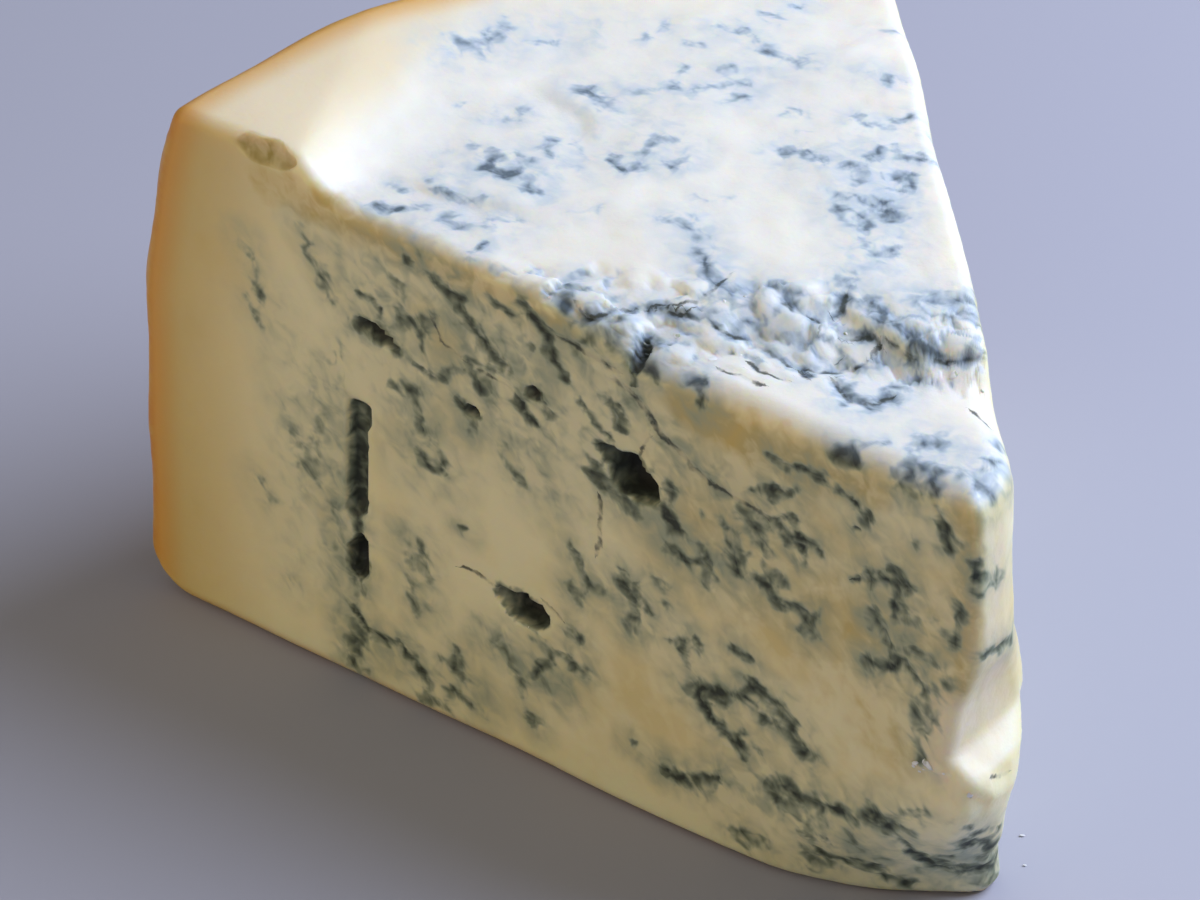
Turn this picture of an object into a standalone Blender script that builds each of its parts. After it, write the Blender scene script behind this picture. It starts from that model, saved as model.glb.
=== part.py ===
"""A wedge of gorgonzola, one solid piece of blue cheese at its real size.

The wedge comes from a round wheel that was halved flat: its back is the wheel's side, its
underside the wheel's flat face, and its two sides and its top are cut or torn paste. The
origin is under the middle of the wedge, on the surface it rests on, with the tip towards -Y
and the rind towards +Y.

The form is one function that is below zero inside the cheese. A cube is cut into a lattice,
bent roughly into a wedge and slid onto the function's zero surface, and the paste's hollows,
needle grooves and cleft are then cut from it.
"""

import math

import bmesh
import bpy
import numpy as np
from mathutils import Matrix, Vector, noise

MM = 0.001

# The wheel and the cut, in millimetres and degrees. The form is worked out in the wheel's
# own frame: its Z axis is the wheel's axis, where the two cut faces would meet.
WEDGE_ANGLE = 48.0
WHEEL_RADIUS = 155.3
WHEEL_LEAN = 7.0
LEAN_FROM = 52.0
LEAN_HEIGHT = 38.0
LEAN_POWER = 1.4
AXIS_TO_ORIGIN = (0.0, -81.4)

# Roundings of the edges.
RIND_FOOT_ROUND = 8.0
TIP_ROUND = 6.0
NOSE_ROUND = 2.2
CUT_EDGE_ROUND = 1.8
FACET_ROUND = 6.0
PLATEAU_EDGE_ROUND = 2.4
PILLOW_EDGE_ROUND = 4.2

# The top: a plateau behind, a step torn across it, and a lower smooth pillow in front.
# STEP_TOWARDS_TIP is the level direction across the step, STEP_FROM_AXIS its place.
PLATEAU_HEIGHT = 84.0
PLATEAU_TILT = 0.02
PILLOW_HEIGHT = 79.6
STEP_TOWARDS_TIP = (-0.585, -0.811)
STEP_FROM_AXIS = 36.2
STEP_BACK = 9.0
STEP_FRONT = 5.0
CLIFF_FROM = 1.0
CLIFF_TO = 7.0
CLIFF_SHIFT = 3.0
CLIFF_HALF_WIDTH = 4.0
LUMP_LENGTH = 14.0
LUMP_HEIGHT = 0.8

# The smooth corner by the rind stands above the torn plateau; the other rear corner falls.
CORNER_TOWARDS = (-0.582, 0.813)
CORNER_FROM_AXIS = 121.7
CORNER_SCARP = 6.5
CORNER_SCARP_SPREAD = 0.34
CORNER_RISE = 5.2
CORNER_EDGE_X = -51.0
REAR_FALL = 2.4
REAR_FALL_FROM = 108.0
REAR_FALL_TO = 136.0

# The tip's ridge is broken off square to the left cut: height and distance from the axis.
NOSE_BREAK = ((0.0, 9.0), (18.0, 7.6), (26.0, 6.2), (31.0, 7.0), (35.0, 10.2), (43.0, 9.4),
              (50.0, 7.2), (55.0, 6.6), (70.0, 7.6), (84.0, 8.8))
# By the tip the right cut is pressed out: height and how far.
PRESSED_OUT = ((0.0, 4.9), (10.0, 2.9), (20.0, 3.6), (30.0, 4.4), (37.0, 5.6), (44.0, 3.9),
               (52.0, 1.7), (60.0, 1.3), (70.0, 0.9), (80.0, -0.2))
PRESSED_NEAR = 15.0
PRESSED_FAR = 55.0
# The tip is also broken back at the foot and tucked in there.
FACET_TOWARDS = (-0.512, -0.859)
BREAK_DEPTH = 19.0
BREAK_HEIGHT = 34.0
TUCK = 2.5
TUCK_HEIGHT = 12.0
TUCK_NEAR = 20.0
TUCK_FAR = 60.0

# Slow unevenness of every face but the underside: wave length and height.
WAVE_LENGTH = 34.0
WAVE_HEIGHT = 0.35

# The lattice of the block, how strongly its lines crowd to the edges, how far its front face
# reaches back along the two cuts, and how often it is evened and slid along the form's slope.
CELLS_ACROSS = 21
CELLS_ALONG = 48
CELLS_UP = 24
CROWDING_ACROSS = 0.4
CROWDING_ALONG = 0.1
CROWDING_UP = 0.55
FRONT_ARM = 26.0
FRONT_BLUNT = 9.0
FRONT_SET_BACK = 9.0
EVENINGS = 4
EVENING_SHARE = 0.5
SLIDES = 8
SLOPE_STEP = 0.05

# Hollows in the two cut faces: side, distance from the wheel's axis, height, half length,
# half height, depth, and tilt in degrees with the end by the tip down.
HOLLOWS = (
    ("left", 65.2, 58.8, 6.2, 3.4, 5.0, 28.0),
    ("left", 83.8, 27.8, 4.9, 2.8, 4.5, 6.0),
    ("left", 110.8, 64.0, 3.8, 1.0, 2.0, 18.0),
    ("left", 94.0, 57.8, 1.8, 1.3, 1.8, 10.0),
    ("left", 82.8, 66.0, 1.3, 1.1, 1.6, 0.0),
    ("left", 114.6, 23.2, 2.0, 4.6, 2.8, 0.0),
    ("right", 58.0, 44.0, 5.8, 3.4, 4.8, 28.0),
    ("right", 101.0, 30.0, 4.6, 3.0, 4.2, 12.0),
    ("right", 84.0, 63.0, 3.8, 1.9, 3.0, 35.0),
    ("right", 122.0, 52.0, 2.6, 1.5, 2.0, 15.0),
)
HOLLOW_ROUGHNESS = 0.25
HOLLOW_GRAIN = 1.8

# Grooves left by the piercing needles: side, distance from the axis, low end, high end.
NEEDLE_GROOVES = (("left", 114.6, 30.0, 51.0), ("right", 91.0, 12.0, 50.0))
NEEDLE_WIDTH = 3.9
NEEDLE_DEPTH = 2.2
NEEDLE_SIDES = 12

# Clefts of the torn step: both ends on the plan, the height they are sunk from, half width
# and depth. The only one opens in the left edge.
CLEFTS = (
    ((-27.0, 58.8), (-22.6, 62.0), 81.0, 1.5, 1.7),
)

# The chipped hollow in the top edge of the left cut, by the rind.
CHIP_ALONG = 131.3
CHIP_UP = 87.2
CHIP_SIZE = (6.2, 1.8, 1.8)

PASTE_COLOUR = (0.78, 0.70, 0.50)
PASTE_ROUGHNESS = 0.5

HALF_ANGLE = math.radians(WEDGE_ANGLE / 2.0)
SIN_HALF = math.sin(HALF_ANGLE)
COS_HALF = math.cos(HALF_ANGLE)


def clear_scene():
    """Removes every object of the start-up scene."""
    for thing in list(bpy.data.objects):
        bpy.data.objects.remove(thing, do_unlink=True)


def new_collection(name):
    """A named collection linked to the scene."""
    group = bpy.data.collections.new(name)
    bpy.context.scene.collection.children.link(group)
    return group


def ramp(value, start, end):
    """A smooth rise from 0 at start to 1 at end."""
    t = np.clip((value - start) / (end - start), 0.0, 1.0)
    return t * t * (3.0 - 2.0 * t)


def wave(x, y, z):
    """Three crossed slow waves, between about -1 and 1."""
    k = 2.0 * math.pi / WAVE_LENGTH
    first = np.sin(k * (x + 0.4 * z) + 0.7) * np.cos(0.83 * k * (y - 0.5 * z))
    second = np.sin(0.61 * k * (y + 0.7 * x) + 2.1) * np.cos(0.77 * k * z + 0.3)
    third = np.sin(1.37 * k * (z - 0.3 * y) + 1.3) * np.cos(1.21 * k * x + 1.9)
    return (first + second + 0.7 * third) / 2.0


def past_step(x, y):
    """How far a point of the plan lies past the torn step, towards the tip."""
    cliff = ramp(x, CLIFF_FROM, CLIFF_TO)
    return (STEP_TOWARDS_TIP[0] * x + STEP_TOWARDS_TIP[1] * y + STEP_FROM_AXIS
            - CLIFF_SHIFT * cliff)


def top_height(x, y):
    """The height of the top face over the plan."""
    in_corner = CORNER_TOWARDS[0] * x + CORNER_TOWARDS[1] * y - CORNER_FROM_AXIS
    spread = CORNER_SCARP_SPREAD * np.maximum(x - CORNER_EDGE_X, 0.0)
    corner = CORNER_RISE * ramp(in_corner, -CORNER_SCARP - spread, 1.5 + spread)
    along_right = SIN_HALF * x + COS_HALF * y
    fall = REAR_FALL * ramp(along_right, REAR_FALL_FROM, REAR_FALL_TO) * ramp(x, 10.0, 50.0)
    plateau = PLATEAU_HEIGHT + PLATEAU_TILT * x + corner - fall

    past = past_step(x, y)
    cliff = ramp(x, CLIFF_FROM, CLIFF_TO)
    back = STEP_BACK + (CLIFF_HALF_WIDTH - STEP_BACK) * cliff
    front = STEP_FRONT + (CLIFF_HALF_WIDTH - STEP_FRONT) * cliff
    torn = np.clip((past + back) / (back + front), 0.0, 1.0)
    torn = torn * torn * (3.0 - 2.0 * torn)
    k = 2.0 * math.pi / LUMP_LENGTH
    lumps = np.sin(k * (x - 0.4 * y)) * np.cos(0.8 * k * (y + 0.6 * x) + 0.9) * (1.0 - cliff)
    slope_share = 4.0 * torn * (1.0 - torn)
    return plateau + (PILLOW_HEIGHT - plateau) * torn + LUMP_HEIGHT * slope_share * lumps


def rounded_meet(first, second, radius):
    """The part inside both faces, its shared edge rounded. Inside is below zero."""
    a = np.maximum(first + radius, 0.0)
    b = np.maximum(second + radius, 0.0)
    return np.hypot(a, b) - radius + np.minimum(np.maximum(first, second) + radius, 0.0)


def at_height(z, table):
    """A table's value at a height, straight between its rows of height and value."""
    heights, values = zip(*table)
    return np.interp(z, heights, values)


def form(x, y, z):
    """Below zero inside the cheese and above it outside, near the true distance at a face."""
    lean = np.clip((z - LEAN_FROM) / LEAN_HEIGHT, 0.0, 1.2)
    along_left = -SIN_HALF * x + COS_HALF * y
    along_right = SIN_HALF * x + COS_HALF * y
    tuck = (1.0 - ramp(z, 0.0, TUCK_HEIGHT)) * (1.0 - ramp(along_left, TUCK_NEAR, TUCK_FAR))
    pressed = at_height(z, PRESSED_OUT) * (1.0 - ramp(along_right, PRESSED_NEAR, PRESSED_FAR))
    broken = BREAK_DEPTH * (1.0 - ramp(z, 0.0, BREAK_HEIGHT))
    uneven = WAVE_HEIGHT * wave(x, y, z)

    rind = np.hypot(x, y) - WHEEL_RADIUS + WHEEL_LEAN * lean**LEAN_POWER + uneven
    left = -COS_HALF * x - SIN_HALF * y + TUCK * tuck + uneven
    right = COS_HALF * x - SIN_HALF * y - pressed + uneven
    nose = at_height(z, NOSE_BREAK) - along_left + uneven
    facet = FACET_TOWARDS[0] * x + FACET_TOWARDS[1] * y + broken
    top = z - top_height(x, y) + uneven

    cuts = rounded_meet(left, right, TIP_ROUND)
    cuts = rounded_meet(cuts, nose, NOSE_ROUND)
    cuts = rounded_meet(cuts, facet, FACET_ROUND)
    wheel = rounded_meet(rind, -z, RIND_FOOT_ROUND)
    sides = rounded_meet(wheel, cuts, CUT_EDGE_ROUND)
    pillow = ramp(past_step(x, y), -4.0, 6.0)
    top_round = PLATEAU_EDGE_ROUND + (PILLOW_EDGE_ROUND - PLATEAU_EDGE_ROUND) * pillow
    return rounded_meet(sides, top, top_round)


def crowd(t, amount):
    """Moves lattice lines that are even between 0 and 1 towards both ends."""
    return t - amount * np.sin(2.0 * math.pi * t) / (2.0 * math.pi)


def rough_place(block):
    """Bends the block of side 2 into a wedge, its front face wrapped round the tip.

    Each point lies on a straight line from the front curve, a blunt V along the two cuts, to
    the rind's arc, and its height is a share of the top's height there.
    """
    across = block[:, 0]
    along = crowd((block[:, 1] + 1.0) / 2.0, CROWDING_ALONG)
    up = crowd((block[:, 2] + 1.0) / 2.0, CROWDING_UP)
    height = up * PILLOW_HEIGHT
    out = np.sqrt(across**2 + 0.04) - 0.2 * (1.0 - np.abs(across))
    low = 1.0 - ramp(height, 0.0, BREAK_HEIGHT)
    pressed = at_height(height, PRESSED_OUT) * ramp(across, -1.0, 1.0)
    front_x = FRONT_ARM * SIN_HALF * across + pressed
    front_y = FRONT_BLUNT + (FRONT_ARM * COS_HALF - FRONT_BLUNT) * out
    front_y = front_y + FRONT_SET_BACK * low * (1.0 - across**2)
    turn = HALF_ANGLE * (2.0 * crowd((across + 1.0) / 2.0, CROWDING_ACROSS) - 1.0)
    x = front_x + along * (WHEEL_RADIUS * np.sin(turn) - front_x)
    y = front_y + along * (WHEEL_RADIUS * np.cos(turn) - front_y)
    return np.stack([x, y, up * top_height(x, y)], axis=1)


def slide_to_surface(points):
    """Slides each point along the slope of the form until the form is zero there."""
    for _ in range(SLIDES):
        value = form(*points.T)
        slope = np.empty_like(points)
        for axis in range(3):
            step = np.zeros(3)
            step[axis] = SLOPE_STEP
            ahead = form(*(points + step).T)
            behind = form(*(points - step).T)
            slope[:, axis] = (ahead - behind) / (2.0 * SLOPE_STEP)
        steepness = np.maximum((slope**2).sum(axis=1), 0.25)
        points = points - slope * (value / steepness)[:, None]
    points[np.abs(points[:, 2]) < SLOPE_STEP, 2] = 0.0
    return points


def to_part(points):
    """From millimetres in the wheel's frame to metres in the part's frame."""
    shift = np.array([AXIS_TO_ORIGIN[0], AXIS_TO_ORIGIN[1], 0.0])
    return (points + shift) * MM


def put_points(bm, points):
    """Moves the vertices to the points, in order."""
    for vert, place in zip(bm.verts, points):
        vert.co = place


def shaped_block():
    """A cube cut into a lattice, every point of it moved onto the wedge's surface."""
    bm = bmesh.new()
    bmesh.ops.create_cube(bm, size=2.0)
    for axis, cells in enumerate((CELLS_ACROSS, CELLS_ALONG, CELLS_UP)):
        edges = []
        for edge in bm.edges:
            run = edge.verts[0].co - edge.verts[1].co
            if abs(run[axis]) > 1.0:
                edges.append(edge)
        bmesh.ops.subdivide_edges(bm, edges=edges, cuts=cells - 1, use_grid_fill=True)
    points = rough_place(np.array([vert.co[:] for vert in bm.verts]))
    for _ in range(EVENINGS):
        put_points(bm, slide_to_surface(points))
        bmesh.ops.smooth_vert(bm, verts=bm.verts, factor=EVENING_SHARE,
                              use_axis_x=True, use_axis_y=True, use_axis_z=True)
        points = np.array([vert.co[:] for vert in bm.verts])
    put_points(bm, to_part(slide_to_surface(points)))
    bmesh.ops.triangulate(bm, faces=bm.faces, quad_method="SHORT_EDGE")
    mesh = bpy.data.meshes.new("gorgonzola_wedge")
    bm.to_mesh(mesh)
    bm.free()
    return mesh


def face_frame(side, along, height):
    """A matrix in metres on a cut face: X level along the face, Y outwards, Z up."""
    turn = -1.0 if side == "left" else 1.0
    out = Vector((turn * COS_HALF, -SIN_HALF, 0.0))
    level = Vector((out.y, -out.x, 0.0))
    place = to_part(np.array([turn * SIN_HALF * along, COS_HALF * along, height]))
    frame = Matrix((level, out, Vector((0.0, 0.0, 1.0)))).transposed().to_4x4()
    frame.translation = Vector(place)
    return frame


def cutter_object(name, bm, group):
    """A hidden cutter made from a bmesh."""
    mesh = bpy.data.meshes.new(name)
    bm.to_mesh(mesh)
    bm.free()
    cutter = bpy.data.objects.new(name, mesh)
    cutter.display_type = "WIRE"
    cutter.hide_render = True
    group.objects.link(cutter)


def ragged_ball(halves, grain_start):
    """An icosphere stretched to three half sizes in millimetres and roughened by smooth noise."""
    bm = bmesh.new()
    bmesh.ops.create_icosphere(bm, subdivisions=2, radius=1.0)
    start = Vector((grain_start * 3.7, grain_start * 1.9, grain_start * 5.3))
    for vert in bm.verts:
        swell = 1.0 + HOLLOW_ROUGHNESS * noise.noise(vert.co * HOLLOW_GRAIN + start)
        vert.co = Vector([vert.co[i] * halves[i] * swell * MM for i in range(3)])
    return bm


def add_hollows(group):
    """The paste's hollows and the chipped top edge by the rind."""
    for number, (side, along, height, half_long, half_high, depth, tilt) in enumerate(HOLLOWS):
        bm = ragged_ball((half_long, depth, half_high), number)
        turn = -tilt if side == "left" else tilt
        tilted = Matrix.Rotation(math.radians(turn), 4, "Y")
        bm.transform(face_frame(side, along, height) @ tilted)
        cutter_object(f"hollow_{number}", bm, group)
    bm = ragged_ball(CHIP_SIZE, len(HOLLOWS))
    bm.transform(face_frame("left", CHIP_ALONG, CHIP_UP))
    cutter_object("edge_chip", bm, group)


def add_needle_grooves(group):
    """Straight grooves, each an upright rod with an oval section sunk into a cut face."""
    for number, (side, along, low, high) in enumerate(NEEDLE_GROOVES):
        bm = bmesh.new()
        bmesh.ops.create_cone(bm, cap_ends=True, segments=NEEDLE_SIDES, radius1=MM, radius2=MM,
                              depth=(high - low) * MM)
        for vert in bm.verts:
            vert.co.x *= NEEDLE_WIDTH / 2.0
            vert.co.y *= NEEDLE_DEPTH
        bm.transform(face_frame(side, along, (low + high) / 2.0))
        cutter_object(f"needle_groove_{number}", bm, group)


def add_clefts(group):
    """The torn step's cleft, a long ragged ball sunk from above."""
    for number, (start, end, height, half_wide, depth) in enumerate(CLEFTS):
        run = Vector((end[0] - start[0], end[1] - start[1], 0.0))
        bm = ragged_ball((run.length / 2.0, half_wide, depth), number + len(HOLLOWS) + 1)
        middle = ((start[0] + end[0]) / 2.0, (start[1] + end[1]) / 2.0, height)
        turned = Matrix.Rotation(math.atan2(run.y, run.x), 4, "Z")
        bm.transform(Matrix.Translation(Vector(to_part(np.array(middle)))) @ turned)
        cutter_object(f"step_cleft_{number}", bm, group)


def paste_material():
    """Ivory paste in one plain finish."""
    material = bpy.data.materials.new("gorgonzola_paste")
    material.use_nodes = True
    shader = material.node_tree.nodes["Principled BSDF"]
    shader.inputs["Base Color"].default_value = (*PASTE_COLOUR, 1.0)
    shader.inputs["Roughness"].default_value = PASTE_ROUGHNESS
    shader.inputs["Metallic"].default_value = 0.0
    return material


def main():
    """Shapes the wedge, then cuts its hollows, grooves and cleft."""
    clear_scene()
    parts = new_collection("gorgonzola")
    cutters = new_collection("cutters")

    wedge = bpy.data.objects.new("gorgonzola_wedge", shaped_block())
    wedge.data.materials.append(paste_material())
    parts.objects.link(wedge)

    add_hollows(cutters)
    add_needle_grooves(cutters)
    add_clefts(cutters)
    for cutter in cutters.objects:
        cut = wedge.modifiers.new(cutter.name, "BOOLEAN")
        cut.operation = "DIFFERENCE"
        cut.solver = "EXACT"
        cut.object = cutter

    wedge.data.shade_smooth()
    wedge.data.set_sharp_from_angle(angle=math.radians(50.0))


main()
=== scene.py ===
"""Dresses a wedge of gorgonzola: moist ivory paste with blue-green mould in its cracks and
hollows, a torn top, a tan rind at the back and a few loose crumbs, on a plain pale floor.

The wedge keeps the form of the solid that it stands for: the same named sizes and the same
function, which is below zero inside the cheese. A block's lattice is slid onto the
function's zero surface and then pushed in or out along the slope by the paste's own relief.
All shapes are worked out in millimetres in the wheel's frame, whose Z axis is the axis of
the whole wheel, with the rind towards +Y and the left cut towards -X.
"""

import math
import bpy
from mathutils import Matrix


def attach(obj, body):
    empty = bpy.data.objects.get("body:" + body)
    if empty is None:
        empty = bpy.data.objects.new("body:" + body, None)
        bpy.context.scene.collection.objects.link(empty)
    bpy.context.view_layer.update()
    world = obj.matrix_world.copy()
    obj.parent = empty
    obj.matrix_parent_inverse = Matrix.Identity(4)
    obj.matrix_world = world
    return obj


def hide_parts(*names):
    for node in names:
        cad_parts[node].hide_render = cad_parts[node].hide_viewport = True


bl_info = {
    "name": "Gorgonzola wedge",
    "version": (1, 0, 0),
    "blender": (4, 5, 0),
    "location": "3D View > Sidebar > Gorgonzola",
    "description": "A wedge of blue cheese with torn paste, mould, rind and crumbs",
    "category": "Add Mesh",
}

import bpy
import numpy as np
from mathutils import Matrix, Vector

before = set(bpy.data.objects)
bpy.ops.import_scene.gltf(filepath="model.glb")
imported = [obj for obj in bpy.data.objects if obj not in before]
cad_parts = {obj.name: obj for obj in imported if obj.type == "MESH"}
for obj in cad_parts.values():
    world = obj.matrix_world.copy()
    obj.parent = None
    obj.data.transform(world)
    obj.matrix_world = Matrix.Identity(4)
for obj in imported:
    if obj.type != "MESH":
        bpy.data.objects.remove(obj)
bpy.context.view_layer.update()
NODE = "gorgonzola_wedge"
WEDGE_NAME = "gorgonzola_dressed_wedge"
BODY = "root"
MM = 0.001

# The numbers that the wedge's mesh holds for each point and its material reads.
FIELDS = ("mould", "stain", "crack_gap", "crack_width", "recess_shade", "chip", "tan", "fresh_and_lit",
          "under_rind", "top", "foot", "corner")

# The wheel and the cut, in millimetres and degrees, as in the solid.
WEDGE_ANGLE = 48.0
WHEEL_RADIUS = 155.3
WHEEL_LEAN = 7.0
LEAN_FROM = 52.0
LEAN_HEIGHT = 38.0
LEAN_POWER = 1.4
AXIS_TO_ORIGIN = (0.0, -81.4)

# Roundings of the edges.
RIND_FOOT_ROUND = 8.0
TIP_ROUND = 6.0
NOSE_ROUND = 2.2
CUT_EDGE_ROUND = 1.8
FACET_ROUND = 6.0
PLATEAU_EDGE_ROUND = 2.4
PILLOW_EDGE_ROUND = 4.2
# The top's rounding changes from the one to the other over this way past the step.
EDGE_ROUND_CHANGE = (-4.0, 6.0)

# The top: a plateau behind, a step torn across it, and a lower smooth pillow in front. To the
# right of the axis the step turns into a steeper cliff.
PLATEAU_HEIGHT = 84.0
PLATEAU_TILT = 0.02
PILLOW_HEIGHT = 79.6
STEP_TOWARDS_TIP = (-0.585, -0.811)
STEP_FROM_AXIS = 36.2
STEP_BACK = 9.0
STEP_FRONT = 5.0
CLIFF_SPAN = (1.0, 7.0)
CLIFF_SHIFT = 3.0
CLIFF_HALF_WIDTH = 4.0
LUMP_LENGTH = 14.0
LUMP_HEIGHT = 0.8

# The smooth corner by the rind stands above the torn plateau; the other rear corner falls.
CORNER_TOWARDS = (-0.582, 0.813)
CORNER_FROM_AXIS = 121.7
CORNER_SCARP = 6.5
CORNER_SCARP_TOP = 1.5
CORNER_SCARP_SPREAD = 0.34
CORNER_RISE = 5.2
CORNER_EDGE_X = -51.0
REAR_FALL = 2.4
REAR_FALL_ALONG = (108.0, 136.0)
REAR_FALL_ACROSS = (10.0, 50.0)

# The tip's ridge is broken off square to the left cut: height and distance from the axis.
NOSE_BREAK = ((0.0, 9.0), (18.0, 7.6), (26.0, 6.2), (31.0, 7.0), (35.0, 10.2), (43.0, 9.4),
              (50.0, 7.2), (55.0, 6.6), (70.0, 7.6), (84.0, 8.8))
# By the tip the right cut is pressed out: height and how far, and over which distance from
# the axis that fades away.
PRESSED_OUT = ((0.0, 4.9), (10.0, 2.9), (20.0, 3.6), (30.0, 4.4), (37.0, 5.6), (44.0, 3.9),
               (52.0, 1.7), (60.0, 1.3), (70.0, 0.9), (80.0, -0.2))
PRESSED_FADE = (15.0, 55.0)
# The tip is also broken back at the foot, and the left cut is tucked in there.
FACET_TOWARDS = (-0.512, -0.859)
BREAK_DEPTH = 19.0
BREAK_HEIGHT = 34.0
TUCK = 2.5
TUCK_HEIGHT = 12.0
TUCK_FADE = (20.0, 60.0)

# Slow unevenness of every face but the underside: wave length and height.
WAVE_LENGTH = 34.0
WAVE_HEIGHT = 0.35

# The lattice: cells across, along and up, how strongly its lines crowd to the edges, how far
# its front face reaches back along the two cuts and how blunt it is, and the rim of cells
# kept underneath.
CELLS = (116, 182, 122)
CROWDING_ACROSS = 0.4
CROWDING_ALONG = 0.1
CROWDING_UP = 0.35
FRONT_ARM = 27.0
FRONT_BLUNT = 9.0
FRONT_SET_BACK = 9.0
UNDERSIDE_RIM = 7
# How often the lattice is evened out, in how many passes, and how far a point then moves.
EVENINGS = 10
EVENING_PASSES = 6
EVENING_SHARE = 0.5
# A point with fewer ties to its neighbours is on the loop of the last face and stays there.
LEAST_TIES = 6
# A step that is short enough to find the form's slope, the least square of a slope, and how
# many slides bring the bent block onto the surface, keep it there while it is evened, bring
# the bends of a mark there, and settle what is almost there.
SLOPE_STEP = 0.05
LEAST_STEEPNESS = 0.25
FIRST_SLIDES = 8
EVENING_SLIDES = 2
BEND_SLIDES = 12
SETTLING_SLIDES = 4

# Hollows in the two cut faces, as in the solid: side, distance from the axis, height, half
# length, half height, depth, and tilt in degrees with the end by the tip down.
HOLLOWS = (
    ("left", 65.2, 58.8, 6.2, 3.4, 5.0, 28.0),
    ("left", 83.8, 27.8, 4.9, 2.8, 4.5, 6.0),
    ("left", 110.8, 64.0, 3.8, 1.0, 2.0, 18.0),
    ("left", 94.0, 57.8, 1.8, 1.3, 1.8, 10.0),
    ("left", 82.8, 66.0, 1.3, 1.1, 1.6, 0.0),
    ("left", 114.6, 23.2, 2.0, 4.6, 2.8, 0.0),
    ("right", 58.0, 44.0, 5.8, 3.4, 4.8, 28.0),
    ("right", 101.0, 30.0, 4.6, 3.0, 4.2, 12.0),
    ("right", 84.0, 63.0, 3.8, 1.9, 3.0, 35.0),
    ("right", 122.0, 52.0, 2.6, 1.5, 2.0, 15.0),
)
# How ragged their rims are and how coarsely, how near to its face a hollow works, how many
# times its longer half it may reach, and the power that makes its rim a rhombus at 1 and an
# ellipse at 2.
HOLLOW_ROUGHNESS = 0.38
HOLLOW_GRAIN = 3.4
PIT_BAND = 7.0
PIT_NEAR = 2.5
PIT_ROUNDNESS = 1.55
# A hollow's painted shade, which darkens its colour where shade falls inside it, and its
# lining of mould fade between these shares of the way to its rim, and the lining is patchy.
SHADE_FADE = (0.5, 0.98)
LINING_FADE = (0.95, 1.3)
LINING_PATCHES = 0.5
LINING_GRAIN = 2.4

# Grooves left by the piercing needles: side, distance from the axis, low end, high end.
# Then their width and depth, a power below 1 that flattens them underneath, how ragged their
# one wall is and how coarsely, and over which way past their ends they fade out.
NEEDLE_GROOVES = (("left", 114.6, 30.0, 51.0), ("right", 91.0, 12.0, 50.0))
NEEDLE_WIDTH = 3.9
NEEDLE_DEPTH = 2.2
NEEDLE_FLATNESS = 0.6
NEEDLE_RAGGEDNESS = 0.45
NEEDLE_GRAIN = 4.0
NEEDLE_END_FADE = (-2.0, 0.5)

# Clefts of the torn step: both ends on the plan, the height they are sunk from, half width
# and depth. The only one opens in the left edge.
CLEFTS = (
    ((-27.0, 58.8), (-22.6, 62.0), 81.0, 1.5, 1.7),
)
# How strong the shade painted into a cleft is where a hollow's is 1.
CLEFT_SHADE = 0.7

# The chipped hollow in the top edge of the left cut, by the rind: its distance from the axis
# and height, its half length, half height and depth, how far its way out is tilted up in
# degrees, and how strong the shade painted into it is and how that fades to the rim and beyond.
CHIP_ALONG = 131.3
CHIP_UP = 87.2
CHIP_SIZE = (6.2, 2.2, 1.0)
CHIP_TILT = 42.0
CHIP_STRENGTH = 1.3
CHIP_FADE = (0.1, 1.15)

# The eye of the photo's view in the wheel's frame, its turn about Z, its tilt down and its
# roll in radians, and the lens that shows the frame's 36 mm width.
EYE = (-374.1, -532.87, 546.9)
VIEW_YAW = 0.52395
VIEW_PITCH = 0.61326
VIEW_ROLL = 0.02126
VIEW_LENS = 180.0
VIEW_SENSOR = 36.0
# The bends on the top were read off the photo at no more than this height. Points move
# along the lines of sight in short strides, and paths have a point every 1.5 mm.
READ_HEIGHT = 83.0
SIGHT_STRIDES = 60
SIGHT_STRIDE = 2.0
PATH_STEP = 1.5
# The floor's width, how far it lies under the cheese and how high the lights aim, in metres.
FLOOR_WIDTH = 4.0
FLOOR_DROP = 0.0002
LIT_HEIGHT = 0.045
# The lights: direction, then distance and width in metres.
KEY_LIGHT = ((0.85, -0.26, 0.85), 0.9, 0.8)
FILL_LIGHT = ((-0.9, 0.05, 0.2), 0.7, 0.5)
# The way the knife smeared the mould over the left cut, and how much longer that made it.
SMEAR_DIRECTION = (0.305, -0.685, -0.66)
SMEAR_LENGTH = 1.35

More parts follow.
